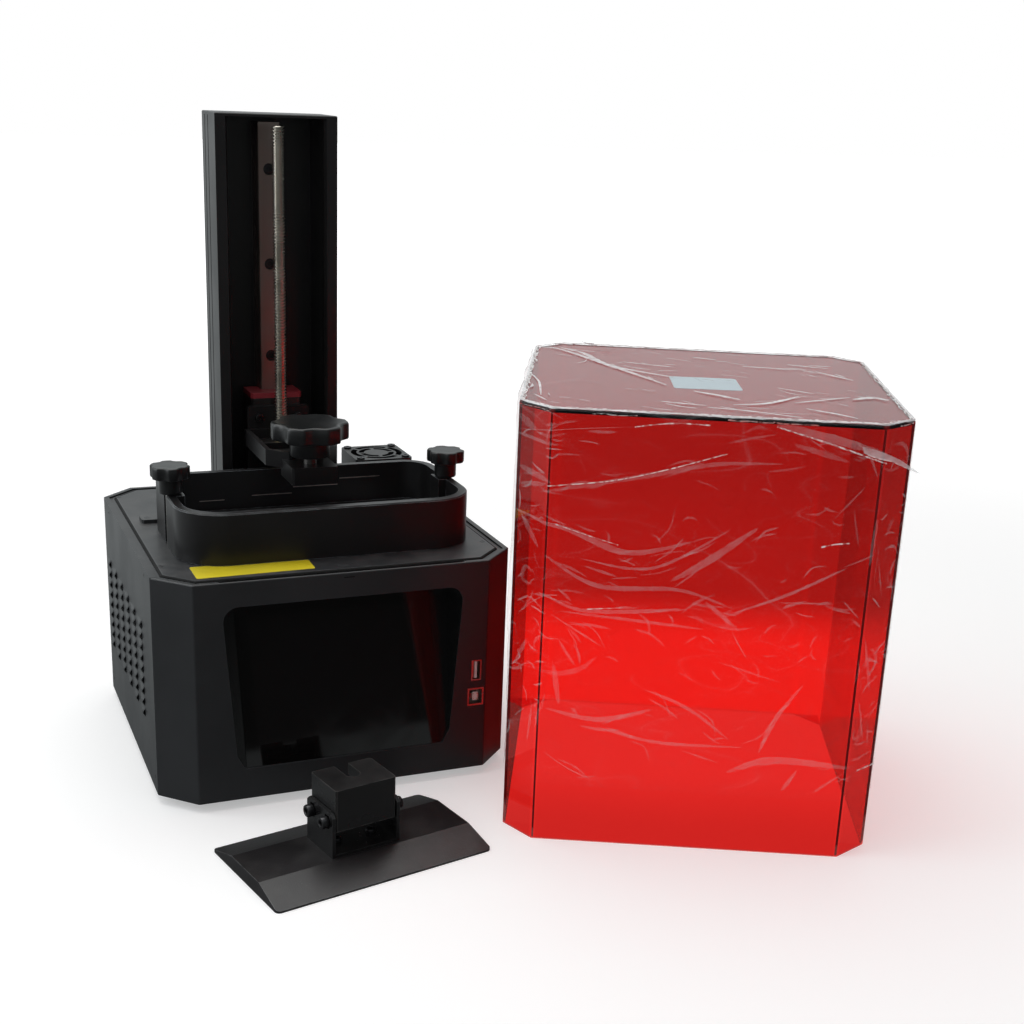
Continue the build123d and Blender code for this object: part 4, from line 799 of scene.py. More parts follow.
def louvred_panel(side):
    """A side panel with its louvres drawn out as smooth drops, each open at its front end."""
    name, way = "side_panel_" + side, -1 if side == "left" else 1
    low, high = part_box(name)
    outer = low.x if way < 0 else high.x
    sheet = outer - way * LOUVRE_PROUD
    bm = bmesh.new()
    bm.from_mesh(NODES[name].data)
    bmesh.ops.remove_doubles(bm, verts=bm.verts, dist=1e-6)
    columns = {}
    for v in bm.verts:
        if abs(v.co.x - outer) < 2e-5:
            columns.setdefault(round(v.co.y, 4), set()).add(round(v.co.z, 5))
    bmesh.ops.delete(bm, geom=[v for v in bm.verts if (v.co.x - sheet) * way > 1e-5], context="VERTS")
    bm.verts.index_update()
    build = Builder([tuple(v.co) for v in bm.verts], [tuple(v.index for v in f.verts) for f in bm.faces])
    bm.free()
    across = 10
    for y, heights in columns.items():
        heights = sorted(heights)
        for z in ((a + b) / 2 for a, b in zip(heights[::2], heights[1::2])):
            start = len(build.verts)
            for back, half, rise in LOUVRE:
                for t in (2 * k / across - 1 for k in range(across + 1)):
                    up = rise / 1000 * (cos(t * pi / 2) ** 1.4) + 0.00002
                    build.verts.append((sheet + way * up, y + back / 1000, z + half / 1000 * t))
            for r in range(len(LOUVRE) - 1):
                for a in range(start + r * (across + 1), start + r * (across + 1) + across):
                    quad = (a, a + 1, a + across + 2, a + across + 1)
                    build.faces.append(quad if way < 0 else quad[::-1])
    build.piece("louvred_panel_" + side, "powder_coat", "base", "black_shell", 40, (name,))


class PRINTER_OT_housing(bpy.types.Operator):
    """Finish the sheet housing, its feet and its deck, and add their screws"""
    bl_idname = "printer.housing"
    bl_label = "Housing"

    def execute(self, context):
        dress("powder_coat", "rear_panel", "chassis_frame")
        dress("fascia_coat", "front_fascia")
        dress("deck_coat", "deck_plate", "vat_stops")
        dress("zinc_sheet", "bottom_tray")
        dress("rubber", "feet")
        for side in ("left", "right"):
            louvred_panel(side)
        deck, sides, rear = Builder(), Builder(), Builder()
        top, back = top_of("deck_plate"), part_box("rear_panel")[1].y
        for x, y in ((-101, -70), (-101, 88), (100, -72), (100, 88)):
            deck.flush_screw(at(x, y, top * 1000), UP, 0.0019, 0.0017)
        for low, high in islands("vat_stops"):
            spot = Vector(((low.x + high.x) / 2, (low.y + high.y) / 2, high.z))
            spot.x += 0.0014 if spot.x > BASE.x else -0.0014
            deck.flush_screw(spot, UP, 0.0020, 0.0018)
        for way in (-1, 1):
            for y, z in ((-69, 138), (-82, 15), (69, 138), (82, 15)):
                sides.flush_screw(at(way * SHEET_OFF * 1000, y, z), (way, 0, 0), 0.0015, 0.0014)
        for x, z in ((-80, 136), (80, 136), (-80, 14), (80, 14)):
            rear.flush_screw(Vector((BASE.x + x / 1000, back, z / 1000)), BACK, 0.0017, 0.0015)
        for name, build in (("deck_screws", deck), ("side_screws", sides), ("rear_screws", rear)):
            build.piece(name, "black_oxide", "base", "screw_black")
        return {"FINISHED"}


class PRINTER_OT_front(bpy.types.Operator):
    """Finish the touch screen and the two sockets, with their contacts"""
    bl_idname = "printer.front"
    bl_label = "Screen and sockets"

    def execute(self, context):
        dress("front_glass", "touch_glass")
        dress("black_plastic", "display_module")
        dress("board_mask", "usb_board")
        dress("socket_steel", "usb_a_port", "usb_b_port")
        contacts, rim, tongues = Builder(), Builder(), Builder()
        slim, square = middle("usb_a_port"), middle("usb_b_port")
        slim.y, square.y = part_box("usb_a_port")[0].y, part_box("usb_b_port")[0].y
        for i in range(4):
            spot = slim + Vector((-0.0004, 0.0022, (i - 1.5) * 0.0022))
            contacts.plate(spot, (1, 0, 0), (0.0007, 0.0034), 0.00015, 2, 0.00018)
        for dx in (-0.0012, 0.0012):
            for way in (-1, 1):
                spot = square + Vector((dx, 0.0022, way * 0.0016))
                contacts.plate(spot, (0, 0, way), (0.0008, 0.0034), 0.00015, 2, 0.00018)
        sunk = Vector((0, 0.00135, 0))
        tongues.plate(square + sunk, FRONT, (0.0036, 0.0056), 0.0005, 3, 0.0003, 0.0001)
        tongues.plate(slim + sunk, FRONT, (0.0016, 0.0110), 0.0002, 3, 0.0003, 0.0001)
        low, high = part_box("usb_b_port")
        w, h, wall = high.x - low.x, high.z - low.z, 0.0010
        for dx, dz, a, b in ((wall - w, 0, wall, h), (w - wall, 0, wall, h),
                             (0, wall - h, w - 2 * wall, wall), (0, h - wall, w - 2 * wall, wall)):
            rim.plate(square + Vector((dx / 2, 0.0009, dz / 2)), FRONT, (a, b), 0.0001, 1, 0.00085)
        contacts.piece("socket_contacts", "gold_contact", "base", "socket_steel", 0)
        rim.piece("socket_rim", "socket_steel", "base", "socket_steel", 0)
        tongues.piece("socket_tongues", "white_plastic", "base", "plastic_black", 0)
        return {"FINISHED"}


# the deck label's corners, and the bright lines on the vat's back wall (left end, right end, height), in mm
LABEL_CORNERS = ((-85.5, -76.8), (-85.4, -99.4), (-15.4, -97.8), (-15.2, -79.9))
VAT_WALL_LINES = ((-60.3, -44.2, 156.0), (-26.4, 0.2, 157.8), (0.9, 31.0, 161.8), (32.3, 60.2, 165.8))


def label_outline(corner=1.6):
    """The deck label's outline with its corners taken off."""
    outline = []
    for i, (x, y) in enumerate(LABEL_CORNERS):
        before, after = LABEL_CORNERS[i - 1], LABEL_CORNERS[(i + 1) % 4]
        cut = []
        for ox, oy in (before, after):
            share = corner / hypot(ox - x, oy - y)
            cut.append((x + (ox - x) * share, y + (oy - y) * share))
        soft = (x + (before[0] + after[0] - 2 * x) * 0.005, y + (before[1] + after[1] - 2 * y) * 0.018)
        outline += [cut[0], soft, cut[1]]
    return [at(x, y, 0).to_2d() for x, y in outline]


class PRINTER_OT_marks(bpy.types.Operator):
    """Add the plain labels and the small marks on the deck, the front and the vat"""
    bl_idname = "printer.marks"
    bl_label = "Labels and marks"

    def execute(self, context):
        thick, top, roof = context.scene.printer_parts.label_thick, top_of("deck_plate"), top_of("cover")
        deck_label, cover_label, marks, lines = Builder(), Builder(), Builder(), Builder()
        deck_label.slab(Matrix.Identity(4), label_outline(), top + 0.00001, top + thick, 0.00005)
        deck_label.piece("deck_label", "label_yellow", "base", None, 0)
        place = COVER_FRAME @ Matrix.Translation((-0.0016, -0.0119, 0)) @ Matrix.Rotation(radians(3), 4, "Z")
        pale = rounded_rectangle(0.040, 0.037, 0.0025)
        cover_label.slab(place, pale, roof + 0.00002, roof + thick, 0.00005)
        cover_label.piece("cover_label", "label_white", "cover", None, 0)
        oval = [(0.0046 * cos(a), 0.0013 * sin(a)) for a in (2 * pi * i / 32 for i in range(32))]
        marks.slab(Matrix.Translation(at(3.6, -95.6, 0)), oval, top, top + 0.00025, 0.0002)
        seam = Vector((BASE.x + 0.0016, BASE.y - SHEET_OFF - 0.00001, 0.1401))
        marks.plate(seam, FRONT, (0.0066, 0.0005), 0.0002, 3, 0.00012)
        marks.piece("alignment_marks", "deck_coat", "base", "deck_black", 0)
        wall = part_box("vat_frame")[1].y - 0.0055
        for x0, x1, z in VAT_WALL_LINES:
            spot = Vector((BASE.x + (x0 + x1) / 2000, wall, z / 1000))
            lines.plate(spot, FRONT, ((x1 - x0) / 1000, 0.00055), 0.0002, 3, 0.00012)
        lines.piece("level_lines", "level_line", "vat", None, 0)
        return {"FINISHED"}


# ------------------------------------------------------------------ operators: machine

class PRINTER_OT_vat(bpy.types.Operator):
    """Finish the vat, its studs, its release film and ring, and the exposure screen under it"""
    bl_idname = "printer.vat"
    bl_label = "Vat"

    def execute(self, context):
        dress("vat_anodised", "vat_frame", "film_ring")
        dress("release_film", "vat_film")
        dress("exposure_glass", "exposure_screen")
        dress("stud_steel", "vat_stud_left", "vat_stud_right")
        return {"FINISHED"}


class PRINTER_OT_knobs(bpy.types.Operator):
    """Build the three lobed hand knobs and finish the clamp's stud"""
    bl_idname = "printer.knobs"
    bl_label = "Hand knobs"

    def execute(self, context):
        sides = context.scene.printer_parts.knob_sides
        # knob, stud, radius and height of the neck, radius of the head, turn and bore
        for name, stud, neck_r, neck_h, radius, turn, bore in (
                ("vat_knob_left", "vat_stud_left", 0.007, 0.0095, 0.012, 0.0, 0.00305),
                ("vat_knob_right", "vat_stud_right", 0.007, 0.0095, 0.012, 0.0, 0.00305),
                ("clamp_knob", "clamp_stud", 0.0124, 0.0108, 0.024, radians(24.3), 0.00405)):
            low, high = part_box(name)
            spot, build = middle(stud), Builder()
            spot.z = low.z
            build.hand_knob(spot, neck_r, neck_h, radius, high.z - low.z - neck_h, turn, bore, sides)
            build.piece(name + "_moulding", "knob_plastic", name, "knob_black", 40, (name,))
        # the clamp stud takes a darker copy of the stud steel: painted shade
        dress("shaded_steel", "clamp_stud")
        return {"FINISHED"}


class PRINTER_OT_column(bpy.types.Operator):
    """Finish the column, its cap and its rail, and the motor under them"""
    bl_idname = "printer.column"
    bl_label = "Column and rail"

    def execute(self, context):
        dress("column_anodised", "column", "column_cap")
        dress("rail_steel", "linear_rail")
        dress("black_plastic", "stepper_motor")
        return {"FINISHED"}


class PRINTER_OT_lead_screw(bpy.types.Operator):
    """Cut the lead screw's thread"""
    bl_idname = "printer.lead_screw"
    bl_label = "Lead screw"

    def execute(self, context):
        s, sides = context.scene.printer_parts, 28
        low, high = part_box("lead_screw")
        axis = middle("lead_screw")
        radius = (high.x - low.x) / 2 - 0.00001
        root = radius - s.thread_depth
        start = top_of("deck_plate") + 0.0006
        turns = int((high.z - 0.0012 - start) / s.thread_pitch)
        profile = [(root, 0.0), (root, 0.32), (radius, 0.52), (radius, 0.80)]
        k, count, build = len(profile), turns * sides, Builder()
        for i in range(count + 1):
            angle, lift = 2 * pi * i / sides, start + s.thread_pitch * i / sides
            for r, share in profile:
                spot = (axis.x + r * cos(angle), axis.y + r * sin(angle), lift + share * s.thread_pitch)
                build.verts.append(spot)
        for i in range(count):
            for j in range(k):
                a, b = i * k + j, (i + 1) * k + j
                if j < k - 1:
                    build.faces.append((a, b, b + 1, a + 1))
                elif i + 1 + sides <= count:
                    build.faces.append((a, b, (i + 1 + sides) * k, (i + sides) * k))
        place = Matrix.Translation((axis.x, axis.y, 0))
        build.turned(place, [(radius - 0.0002, low.z), (radius, low.z + 0.0003), (radius, start + 0.0004),
                             (root, start + 0.0012)], sides)
        tip = start + turns * s.thread_pitch
        build.turned(place, [(root - 0.00002, start), (root - 0.00002, tip), (root - 0.0002, high.z - 0.0006),
                             (root - 0.0008, high.z)], sides)
        build.piece("lead_screw_thread", "bright_steel", "lead_screw", "bright_steel", 30, ("lead_screw",))
        return {"FINISHED"}


class PRINTER_OT_carriage(bpy.types.Operator):
    """Finish the carriage: guide block, seals, plate, arm and nut, and add the arm's screws"""
    bl_idname = "printer.carriage"
    bl_label = "Carriage"

    def execute(self, context):
        dress("block_steel", "guide_block")
        dress("seal_plastic", "guide_seals")
        dress("arm_anodised", "carriage_plate", "platform_arm")
        dress("brass", "lead_nut")
        build = Builder()
        for x in (-17.0, 17.0):
            for y in (26.0, 34.0):
                spot = at(x, y, 0)
                spot.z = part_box("platform_arm")[0].z + 0.0095
                build.turned(facing(spot, UP), [(0.0024, 0), (0.0026, 0.0003), (0.0025, 0.0016),
                                                (0.0021, 0.0021), (hexagon(0.0026), 0.0021),
                                                (hexagon(0.0025), 0.0008)], 36)
        build.piece("arm_screws", "black_oxide", "carriage", "screw_black")
        return {"FINISHED"}


class PRINTER_OT_fasteners(bpy.types.Operator):
    """Build the socket-head screws of the rail, the carriage and the platform"""
    bl_idname = "printer.fasteners"
    bl_label = "Screws"

    def execute(self, context):
        share = context.scene.printer_parts.socket_share
        for name, body in (("rail_screws", "base"), ("carriage_screws", "carriage")):
            build = Builder()
            for low, high in islands(name):
                radius, length = (high.x - low.x) / 2, high.y - low.y
                foot = (low + high) / 2
                foot.y = high.y
                build.turned(facing(foot, FRONT), [(radius * 0.6, 0), (radius * 0.6, length * 0.5)], 24)
                deep = 0.004 if name == "rail_screws" else length
                head = Vector((foot.x, low.y + deep, foot.z))
                build.cap_screw(head, FRONT, radius, deep, radius * 2 * share)
            build.piece(name + "_heads", "black_oxide", body, "screw_black", 35, (name,))
        bracket, levelling = Builder(), Builder()
        for low, high in islands("bracket_screws"):
            spot, radius = (low + high) / 2, (high.x - low.x) / 2
            spot.z = low.z
            bracket.cap_screw(spot, UP, radius, high.z - low.z, radius * 2 * share)
        out, heart, reach = PLATFORM_FRAME.to_3x3() @ Vector((1, 0, 0)), PLATFORM_FRAME.translation, 0.0215
        for low, high in islands("levelling_screws"):
            spot = (low + high) / 2
            side, y = 1 if (spot - heart).dot(out) > 0 else -1, (PLATFORM_FRAME.inverted() @ spot).y
            inner = PLATFORM_FRAME @ Vector((side * 0.0192, y, spot.z))
            head = PLATFORM_FRAME @ Vector((side * (reach + 0.0003), y, spot.z))
            levelling.turned(facing(inner, out * side), [(0.0019, 0), (0.0019, reach - 0.0189)], 24)
            levelling.cap_screw(head, out * side, 0.0036, 0.0040, 0.0036)
        for build, name, body in ((bracket, "bracket_screws", "platform"),
                                  (levelling, "levelling_screws", "platform_head")):
            build.piece(name + "_heads", "black_oxide", body, "screw_black", 35, (name,))
        return {"FINISHED"}


FAN_HOLES = 0.016          # from the fan's middle to its screws, both ways
INLET_DEPTH = 0.0162       # from the inlet's face to the root of its pins


class PRINTER_OT_fan(bpy.types.Operator):
    """Finish the fan on the deck and add its screws"""
    bl_idname = "printer.fan"
    bl_label = "Fan"

    def execute(self, context):
        dress("fan_plastic", "fan_housing", "fan_guard", "fan_spider")
        dress("gloss_plastic", "fan_rotor")
        spot, build = middle("fan_guard"), Builder()
        for dx in (-FAN_HOLES, FAN_HOLES):
            for dy in (-FAN_HOLES, FAN_HOLES):
                corner = Vector((spot.x + dx, spot.y + dy, top_of("fan_guard")))
                build.cap_screw(corner, UP, 0.0027, 0.0012, 0.0020)
        build.piece("fan_screws", "black_oxide", "base", "screw_black")
        return {"FINISHED"}


class PRINTER_OT_rear(bpy.types.Operator):
    """Finish the mains inlet and the switch, with the inlet's pins"""
    bl_idname = "printer.rear"
    bl_label = "Rear fittings"

    def execute(self, context):
        dress("black_plastic", "power_inlet", "switch_frame")
        dress("gloss_plastic", "switch_rocker")
        mid, build = middle("power_inlet"), Builder()
        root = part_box("power_inlet")[1].y - INLET_DEPTH
        for dx, dz in ((-7.0, -1.5), (0.0, 2.5), (7.0, -1.5)):
            spot = Vector((mid.x + dx / 1000, root, mid.z + dz / 1000))
            build.plate(spot, BACK, (0.0022, 0.0042), 0.0005, 3, 0.0105, 0.0004)
        build.piece("inlet_pins", "socket_steel", "base", "socket_steel", 30)
        return {"FINISHED"}


class PRINTER_OT_insides(bpy.types.Operator):
    """Finish the exposure unit and the electronics inside the housing"""
    bl_idname = "printer.insides"
    bl_label = "Insides"

    def execute(self, context):
        dress("alloy_plain", "uv_heatsink", "uv_housing")
        dress("board_mask", "uv_board", "main_board")
        dress("zinc_sheet", "power_supply")
        return {"FINISHED"}


# ------------------------------------------------------------------ operators: loose parts

class PRINTER_OT_cover(bpy.types.Operator):
    """Give the cover its red acrylic"""
    bl_idname = "printer.cover"
    bl_label = "Cover"

    def execute(self, context):
        dress("red_acrylic", "cover")
        return {"FINISHED"}


FILM_OFF = 0.00035         # from the cover's walls to the film
ROOF_RINGS = 34            # rows of points from the roof's edge to its middle
WALLS_ROUND = 788          # where the hem's lines end, in mm along the walls
WALL_BAND, ROOF_BAND = (40, 250), (-104, 104)    # heights, and places in depth, that creases keep within

# The film's main folds on the front wall: width in mm, haze (over 1: a dashed line painted as a glint),
# then places in mm along the walls from the front's left end and above the table
WALL_FOLDS = (
    (0.7, 2, 45, 248, 65, 251, 85, 251), (0.6, 2, 0, 213, 35, 218, 65, 226, 95, 236),
    (0.9, 2, 120, 252, 150, 244, 180, 235), (0.5, 2, 5, 192, 25, 186, 40, 182), (0.5, 2, 25, 144, 45, 146),
    (0.9, 2, 150, 187, 157, 189, 165, 190), (0.8, 0.9, 5, 56, 20, 46, 35, 40),
    (1.2, 1.2, 187, 53, 204, 53), (0.5, 0.9, -25, 240, 10, 245, 45, 248), (2.2, 0.7, -25, 238, 5, 236),
    (5, 0.5, -25, 248, -10, 242), (3, 0.7, -5, 209, 50, 221, 90, 230, 125, 232),
    (5.5, 0.8, 120, 253, 150, 247, 180, 240), (1.5, 0.5, 95, 242, 120, 248), (3.5, 0.5, 130, 243, 160, 235),
    (1, 0.5, 170, 222, 155, 203), (3.6, 0.8, -25, 195, 10, 190, 45, 178, 80, 186),
    (1.8, 0.8, 20, 173, 60, 170, 100, 194), (4.6, 0.8, 70, 163, 90, 176, 115, 196),
    (2.8, 0.8, 0, 174, 30, 158, 75, 158, 105, 149), (2.6, 0.7, 0, 152, 25, 143, 80, 147),
    (2, 0.7, 10, 142, 50, 139, 90, 136), (1.3, 0.7, 5, 140, 35, 122), (2, 0.6, 10, 125, 20, 110),
    (1.9, 1, 105, 146, 135, 159, 165, 176), (2.8, 0.7, 90, 152, 110, 136), (1.1, 0.8, 130, 154, 160, 155),
    (1.1, 0.7, 165, 157, 175, 147), (1.3, 0.5, 100, 117, 135, 107), (3.4, 0.8, 5, 83, 35, 78, 65, 86),
    (2.1, 0.8, 35, 73, 70, 66, 118, 66), (2.2, 0.7, 60, 98, 85, 88, 110, 70), (3.4, 0.5, 8, 110, 12, 86),
    (2.8, 0.8, 127, 63, 135, 85, 148, 106), (4.8, 0.8, 110, 50, 135, 59, 180, 57),
    (2.4, 0.7, 142, 40, 150, 54), (1.8, 0.6, 160, 40, 175, 53), (2.5, 0.6, 180, 135, 190, 102),
    (2, 0.6, 178, 204, 177, 178),
    (1.6, 0.7, 181, 98, 190, 70), (4, 0.6, -23, 220, 0, 216), (3, 0.6, -22, 210, 0, 214),
    (4, 0.5, -20, 194, -5, 177), (1.3, 0.9, -20, 142, -10, 147, 0, 143), (2.8, 0.5, -20, 105, -10, 122),
    (2, 0.6, -7, 60, -4, 83),
)
# The same on the roof, in mm from its middle
ROOF_FOLDS = (
    (3.2, 0.8, -105, 85, -90, 80, -60, 33, -25, -25), (3.2, 0.8, -90, 85, -75, 70, -58, 30, -20, 0),
    (1.2, 0.8, -50, 45, -20, 35), (1.5, 0.8, -5, 75, 10, 70), (1.4, 0.9, -30, -75, -5, -80),
    (2.4, 0.9, -10, -40, 5, -50, 15, -60), (1.3, 0.9, 25, 50, 65, 48), (1.3, 0.9, 55, 65, 80, 57),
    (1.5, 0.9, 70, 45, 90, 20), (1.2, 0.8, 40, -17, 60, -30), (2.4, 1, 10, -75, 30, -65, 50, -40),
    (1.6, 0.9, 45, -60, 80, -35), (1.6, 0.9, 50, -75, 65, -85, 75, -95),
    (1.5, 0.9, -5, -85, 20, -90, 45, -100), (4, 0.9, 80, -42, 93, -33, 101, -40),
    (1.1, 1, -105, -10, -99, -35, -96, -75),
)
# The loose end of the film's overlap: points of its upper and its lower edge, measured like the wall folds
LOOSE_END = (((166, 244.0), (167, 240.3)), ((173, 242.6), (174, 237.7)), ((180, 240.3), (182, 236.5)),
             ((186, 238.0), (189, 233.8)), ((193.6, 233.6), (195.5, 231.4)), ((197.3, 231.2), (197.5, 231.0)))


def cover_outline(margin, step):
    """Points round the cover, margin outside its eight flat sides, with each point's outward direction."""
    grown = COVER_LEG + margin * (2 - sqrt(2))
    h = COVER_HALF + margin
    corners = [(-h + grown, -h), (h - grown, -h), (h, -h + grown), (h, h - grown), (h - grown, h),
               (-h + grown, h), (-h, h - grown), (-h, -h + grown)]
    points = []
    for i, (x0, y0) in enumerate(corners):
        x1, y1 = corners[(i + 1) % 8]
        side = hypot(x1 - x0, y1 - y0)
        count = max(2, round(side / step))
        out = ((y1 - y0) / side, -(x1 - x0) / side)
        for k in range(count):
            points.append(((x0 + (x1 - x0) * k / count, y0 + (y1 - y0) * k / count), out if k else None))
    fixed = []
    for i, (spot, out) in enumerate(points):
        if out is None:
            (ax, ay), (bx, by) = points[i - 1][1], points[(i + 1) % len(points)][1]
            d = hypot(ax + bx, ay + by)
            out = ((ax + bx) / d, (ay + by) / d)
        fixed.append((spot, out))
    return fixed


def wall_spot(along, up, off):
    """A point off the cover's wall, from its place along the walls and its height."""
    half, leg = COVER_HALF, COVER_LEG
    flat, cut = 2 * (half - leg), leg * sqrt(2)
    along = (along + cut / 2) % (4 * (flat + cut)) - cut / 2
    side = int((along + cut / 2) // (flat + cut))
    along -= side * (flat + cut)
    slant = sqrt(0.5)
    if along < 0:
        x, y, out = -half + leg + along * slant, -half - along * slant, (-slant, -slant)
    elif along > flat:
        x, y, out = half - leg + (along - flat) * slant, -half + (along - flat) * slant, (slant, -slant)
    else:
        x, y, out = -half + leg + along, -half, (0.0, -1.0)
    x, y = x + out[0] * off, y + out[1] * off
    for _ in range(side):
        x, y = -y, x
    return Vector((x, y, up))


def wave(x, y, z):
    return noise.noise(Vector((x, y, z)))


def fold(x, y, z, height):
    """How far the film stands off at a point: soft folds with sharp crests, mostly across the sides."""
    broad, middling = wave(x * 9, y * 9, z * 21 + 4.0), wave(x * 23 + 7, y * 23, z * 41)
    fine = wave(x * 60, y * 60 + 3, z * 90)
    crest = (1 - min(1, abs(broad) * 5)) ** 2 + 0.45 * (1 - min(1, abs(middling) * 5)) ** 2
    crest += 0.12 * (1 - min(1, abs(fine) * 4))
    where = unit(0.5 + 1.6 * wave(x * 5 - 3, y * 5, z * 7))
    return height * crest * (0.25 + 0.75 * where)


def film_rows(low, roof, step):
    """Rows of points up the cover's walls, over their edge and in over the roof.

    Each is a place, its outward direction, and 1 on a wall, less on the edge or 0 on the roof.
    """
    base, lip = cover_outline(FILM_OFF, step), roof - 0.001
    levels = int((lip - low) / (step * 1.15))
    rows = []
    for k in range(levels + 1):
        z = low + (lip - low) * k / levels
        rows.append([(x, y, z, ox, oy, 1) for (x, y), (ox, oy) in base])
    for inset, drop in ((0.0003, 0.0004), (0.0012, 0.0)):
        rows.append([(x - ox * inset, y - oy * inset, roof - drop, ox * 0.5, oy * 0.5, 0.4)
                     for (x, y), (ox, oy) in base])
    for k in range(1, ROOF_RINGS):
        share = 1 - k / ROOF_RINGS
        rows.append([(x * share, y * share, roof, 0, 0, 0) for (x, y), _ in base])
    return rows


def film_point(x, y, z, ox, oy, side, low, height):
    """A point of the film: folded, loose high on the left side and at one upright corner, bunched on top."""
    d = fold(x, y, z, height)
    if side == 1:
        left = unit((-x - 0.098) / 0.006) * unit((z - 0.235) / 0.012)
        d += 0.0016 * left * (0.8 + 0.6 * wave(0.4, y * 40, z * 50))
        corner = max(0.0, 1 - hypot(x + COVER_HALF, y + 0.098) / 0.030)
        hang = unit((z - 0.10) / 0.03) * unit((0.243 - z) / 0.03)
        d += 0.0030 * corner * hang * (0.7 + 0.6 * wave(1.5, 0.2, z * 30))
        edge = (z - low) / 0.006
        if edge < 1:
            d += 0.0006 * (1 - edge) * (1 + wave(x * 60, y * 60, 1))
        return (x + ox * d, y + oy * d, z)
    bunch = max(0.0, 1 - hypot(x + 0.072, y - 0.106) / 0.034) ** 0.6
    bunch *= max(0.0, 0.0022 + 0.0035 * wave(x * 120, y * 260, 3.0))
    return (x + ox * d, y + oy * d, z + d * (0.3 if side else 0.55) + bunch)


def fold_rows(lines, share, wide):
    """The listed folds as width, haze and points, their haze and width scaled."""
    return [(width * wide, haze if haze > 1 else haze * share, list(zip(places[::2], places[1::2])))
            for width, haze, *places in lines]


def bent(u, v, turn, run, bow, low, high):
    """Three points of a line from (u, v), bent half way, its far end kept between two heights."""
    half = run / 2
    u1, v1 = u + half * cos(turn), v + half * sin(turn)
    return [(u, v), (u1, v1), (u1 + half * cos(turn + bow), max(low, min(high, v1 + half * sin(turn + bow))))]


def beside(rows, chance, spacing, band):
    """Short creases that run beside the folds, about one in each spacing along them."""
    found = []
    for _, haze, points in rows:
        for (u0, v0), (u1, v1) in zip(points, points[1:]):
            run, along = hypot(u1 - u0, v1 - v0), atan2(v1 - v0, u1 - u0)
            for _ in range(round(run / spacing + chance.uniform(-0.4, 0.4))):
                t, off = chance.random(), chance.uniform(1, 7) * chance.choice((-1, 1))
                u, v = u0 + (u1 - u0) * t - off * sin(along), v0 + (v1 - v0) * t + off * cos(along)
                turn, reach, bow = along + chance.gauss(0, 0.3), chance.uniform(6, 24), chance.gauss(0, 0.35)
                line = bent(u, v, turn, reach, bow, *band)
                found.append((chance.uniform(0.7, 1.7), haze * chance.uniform(0.6, 0.95), line))
    return found


def rim_lines(chance):
    """The film's hem round the roof: one broad milky line, and thinner painted glints either side."""
    found = []
    for start in range(-30, WALLS_ROUND, 48):
        line = [(start + 6 * k, 0.5 + chance.uniform(-0.25, 0.25)) for k in range(-1, 11)]
        found.append((2.4 * chance.uniform(0.8, 1.1), 0.85, line))
    for width, inset, stray in ((1.4, 1.6, 0.7), (0.9, 2.6, 0.9), (0.6, -2.2, 0.4)):
        for start in range(-26, WALLS_ROUND, 24):
            line = [(start + 6 * k, inset + chance.uniform(-stray, stray)) for k in range(5)]
            if inset > 0 or chance.random() < 0.4:
                found.append((width * chance.uniform(0.7, 1.2), 2.0, line))
    return found


def stray_creases(chance):
    """Faint curved creases all round the walls, shorter on the front."""
    found = []
    for k in range(150):
        u, v = chance.uniform(-200, 620), chance.uniform(46, 246)
        turn = chance.gauss(0, 0.55) + (pi if chance.random() < 0.5 else 0)
        bow, run = chance.gauss(0, 0.035), chance.uniform(5, 26) * (1.6 if k % 4 == 0 else 1)
        if 4 < u < 172:
            run = min(run, 9)
        line = [(u, v)]
        for _ in range(3):
            u, v = u + run / 3 * cos(turn), v + run / 3 * sin(turn)
            turn += bow * run
            line.append((u, min(WALL_BAND[1], max(WALL_BAND[0], v))))
        found.append((chance.uniform(0.5, 1.0) + run / 14, chance.uniform(0.05, 0.10), line))
    return found


def short_creases(chance, count, strips, heights, turn, run, bow, width, haze, band):
    """Short bent creases at random places, in each strip by turns."""
    found = []
    for k in range(count):
        u, v = chance.uniform(*strips[k % len(strips)]), chance.uniform(*heights)
        way, reach, bend = chance.gauss(*turn), chance.uniform(*run), chance.gauss(0, bow)
        found.append((chance.uniform(*width), chance.uniform(*haze), bent(u, v, way, reach, bend, *band)))
    return found


def between(a, b, c, d, t):
    """A place on the smooth curve that leads from b to c, with a before them and d after them."""
    square, cube = 2 * a - 5 * b + 4 * c - d, 3 * b - a - 3 * c + d
    return 0.5 * (2 * b + (c - a) * t + square * t * t + cube * t ** 3)


def swept(points, spacing):
    """Points at about one spacing along the smooth curve through the given ones."""
    p = [points[0]] + list(points) + [points[-1]]
    found = []
    for a, b, c, d in zip(p, p[1:], p[2:], p[3:]):
        count = max(1, round(hypot(c[0] - b[0], c[1] - b[1]) / spacing))
        for t in (k / count for k in range(count)):
            found.append(tuple(between(*places, t) for places in zip(a, b, c, d)))
    return found + [tuple(points[-1])]


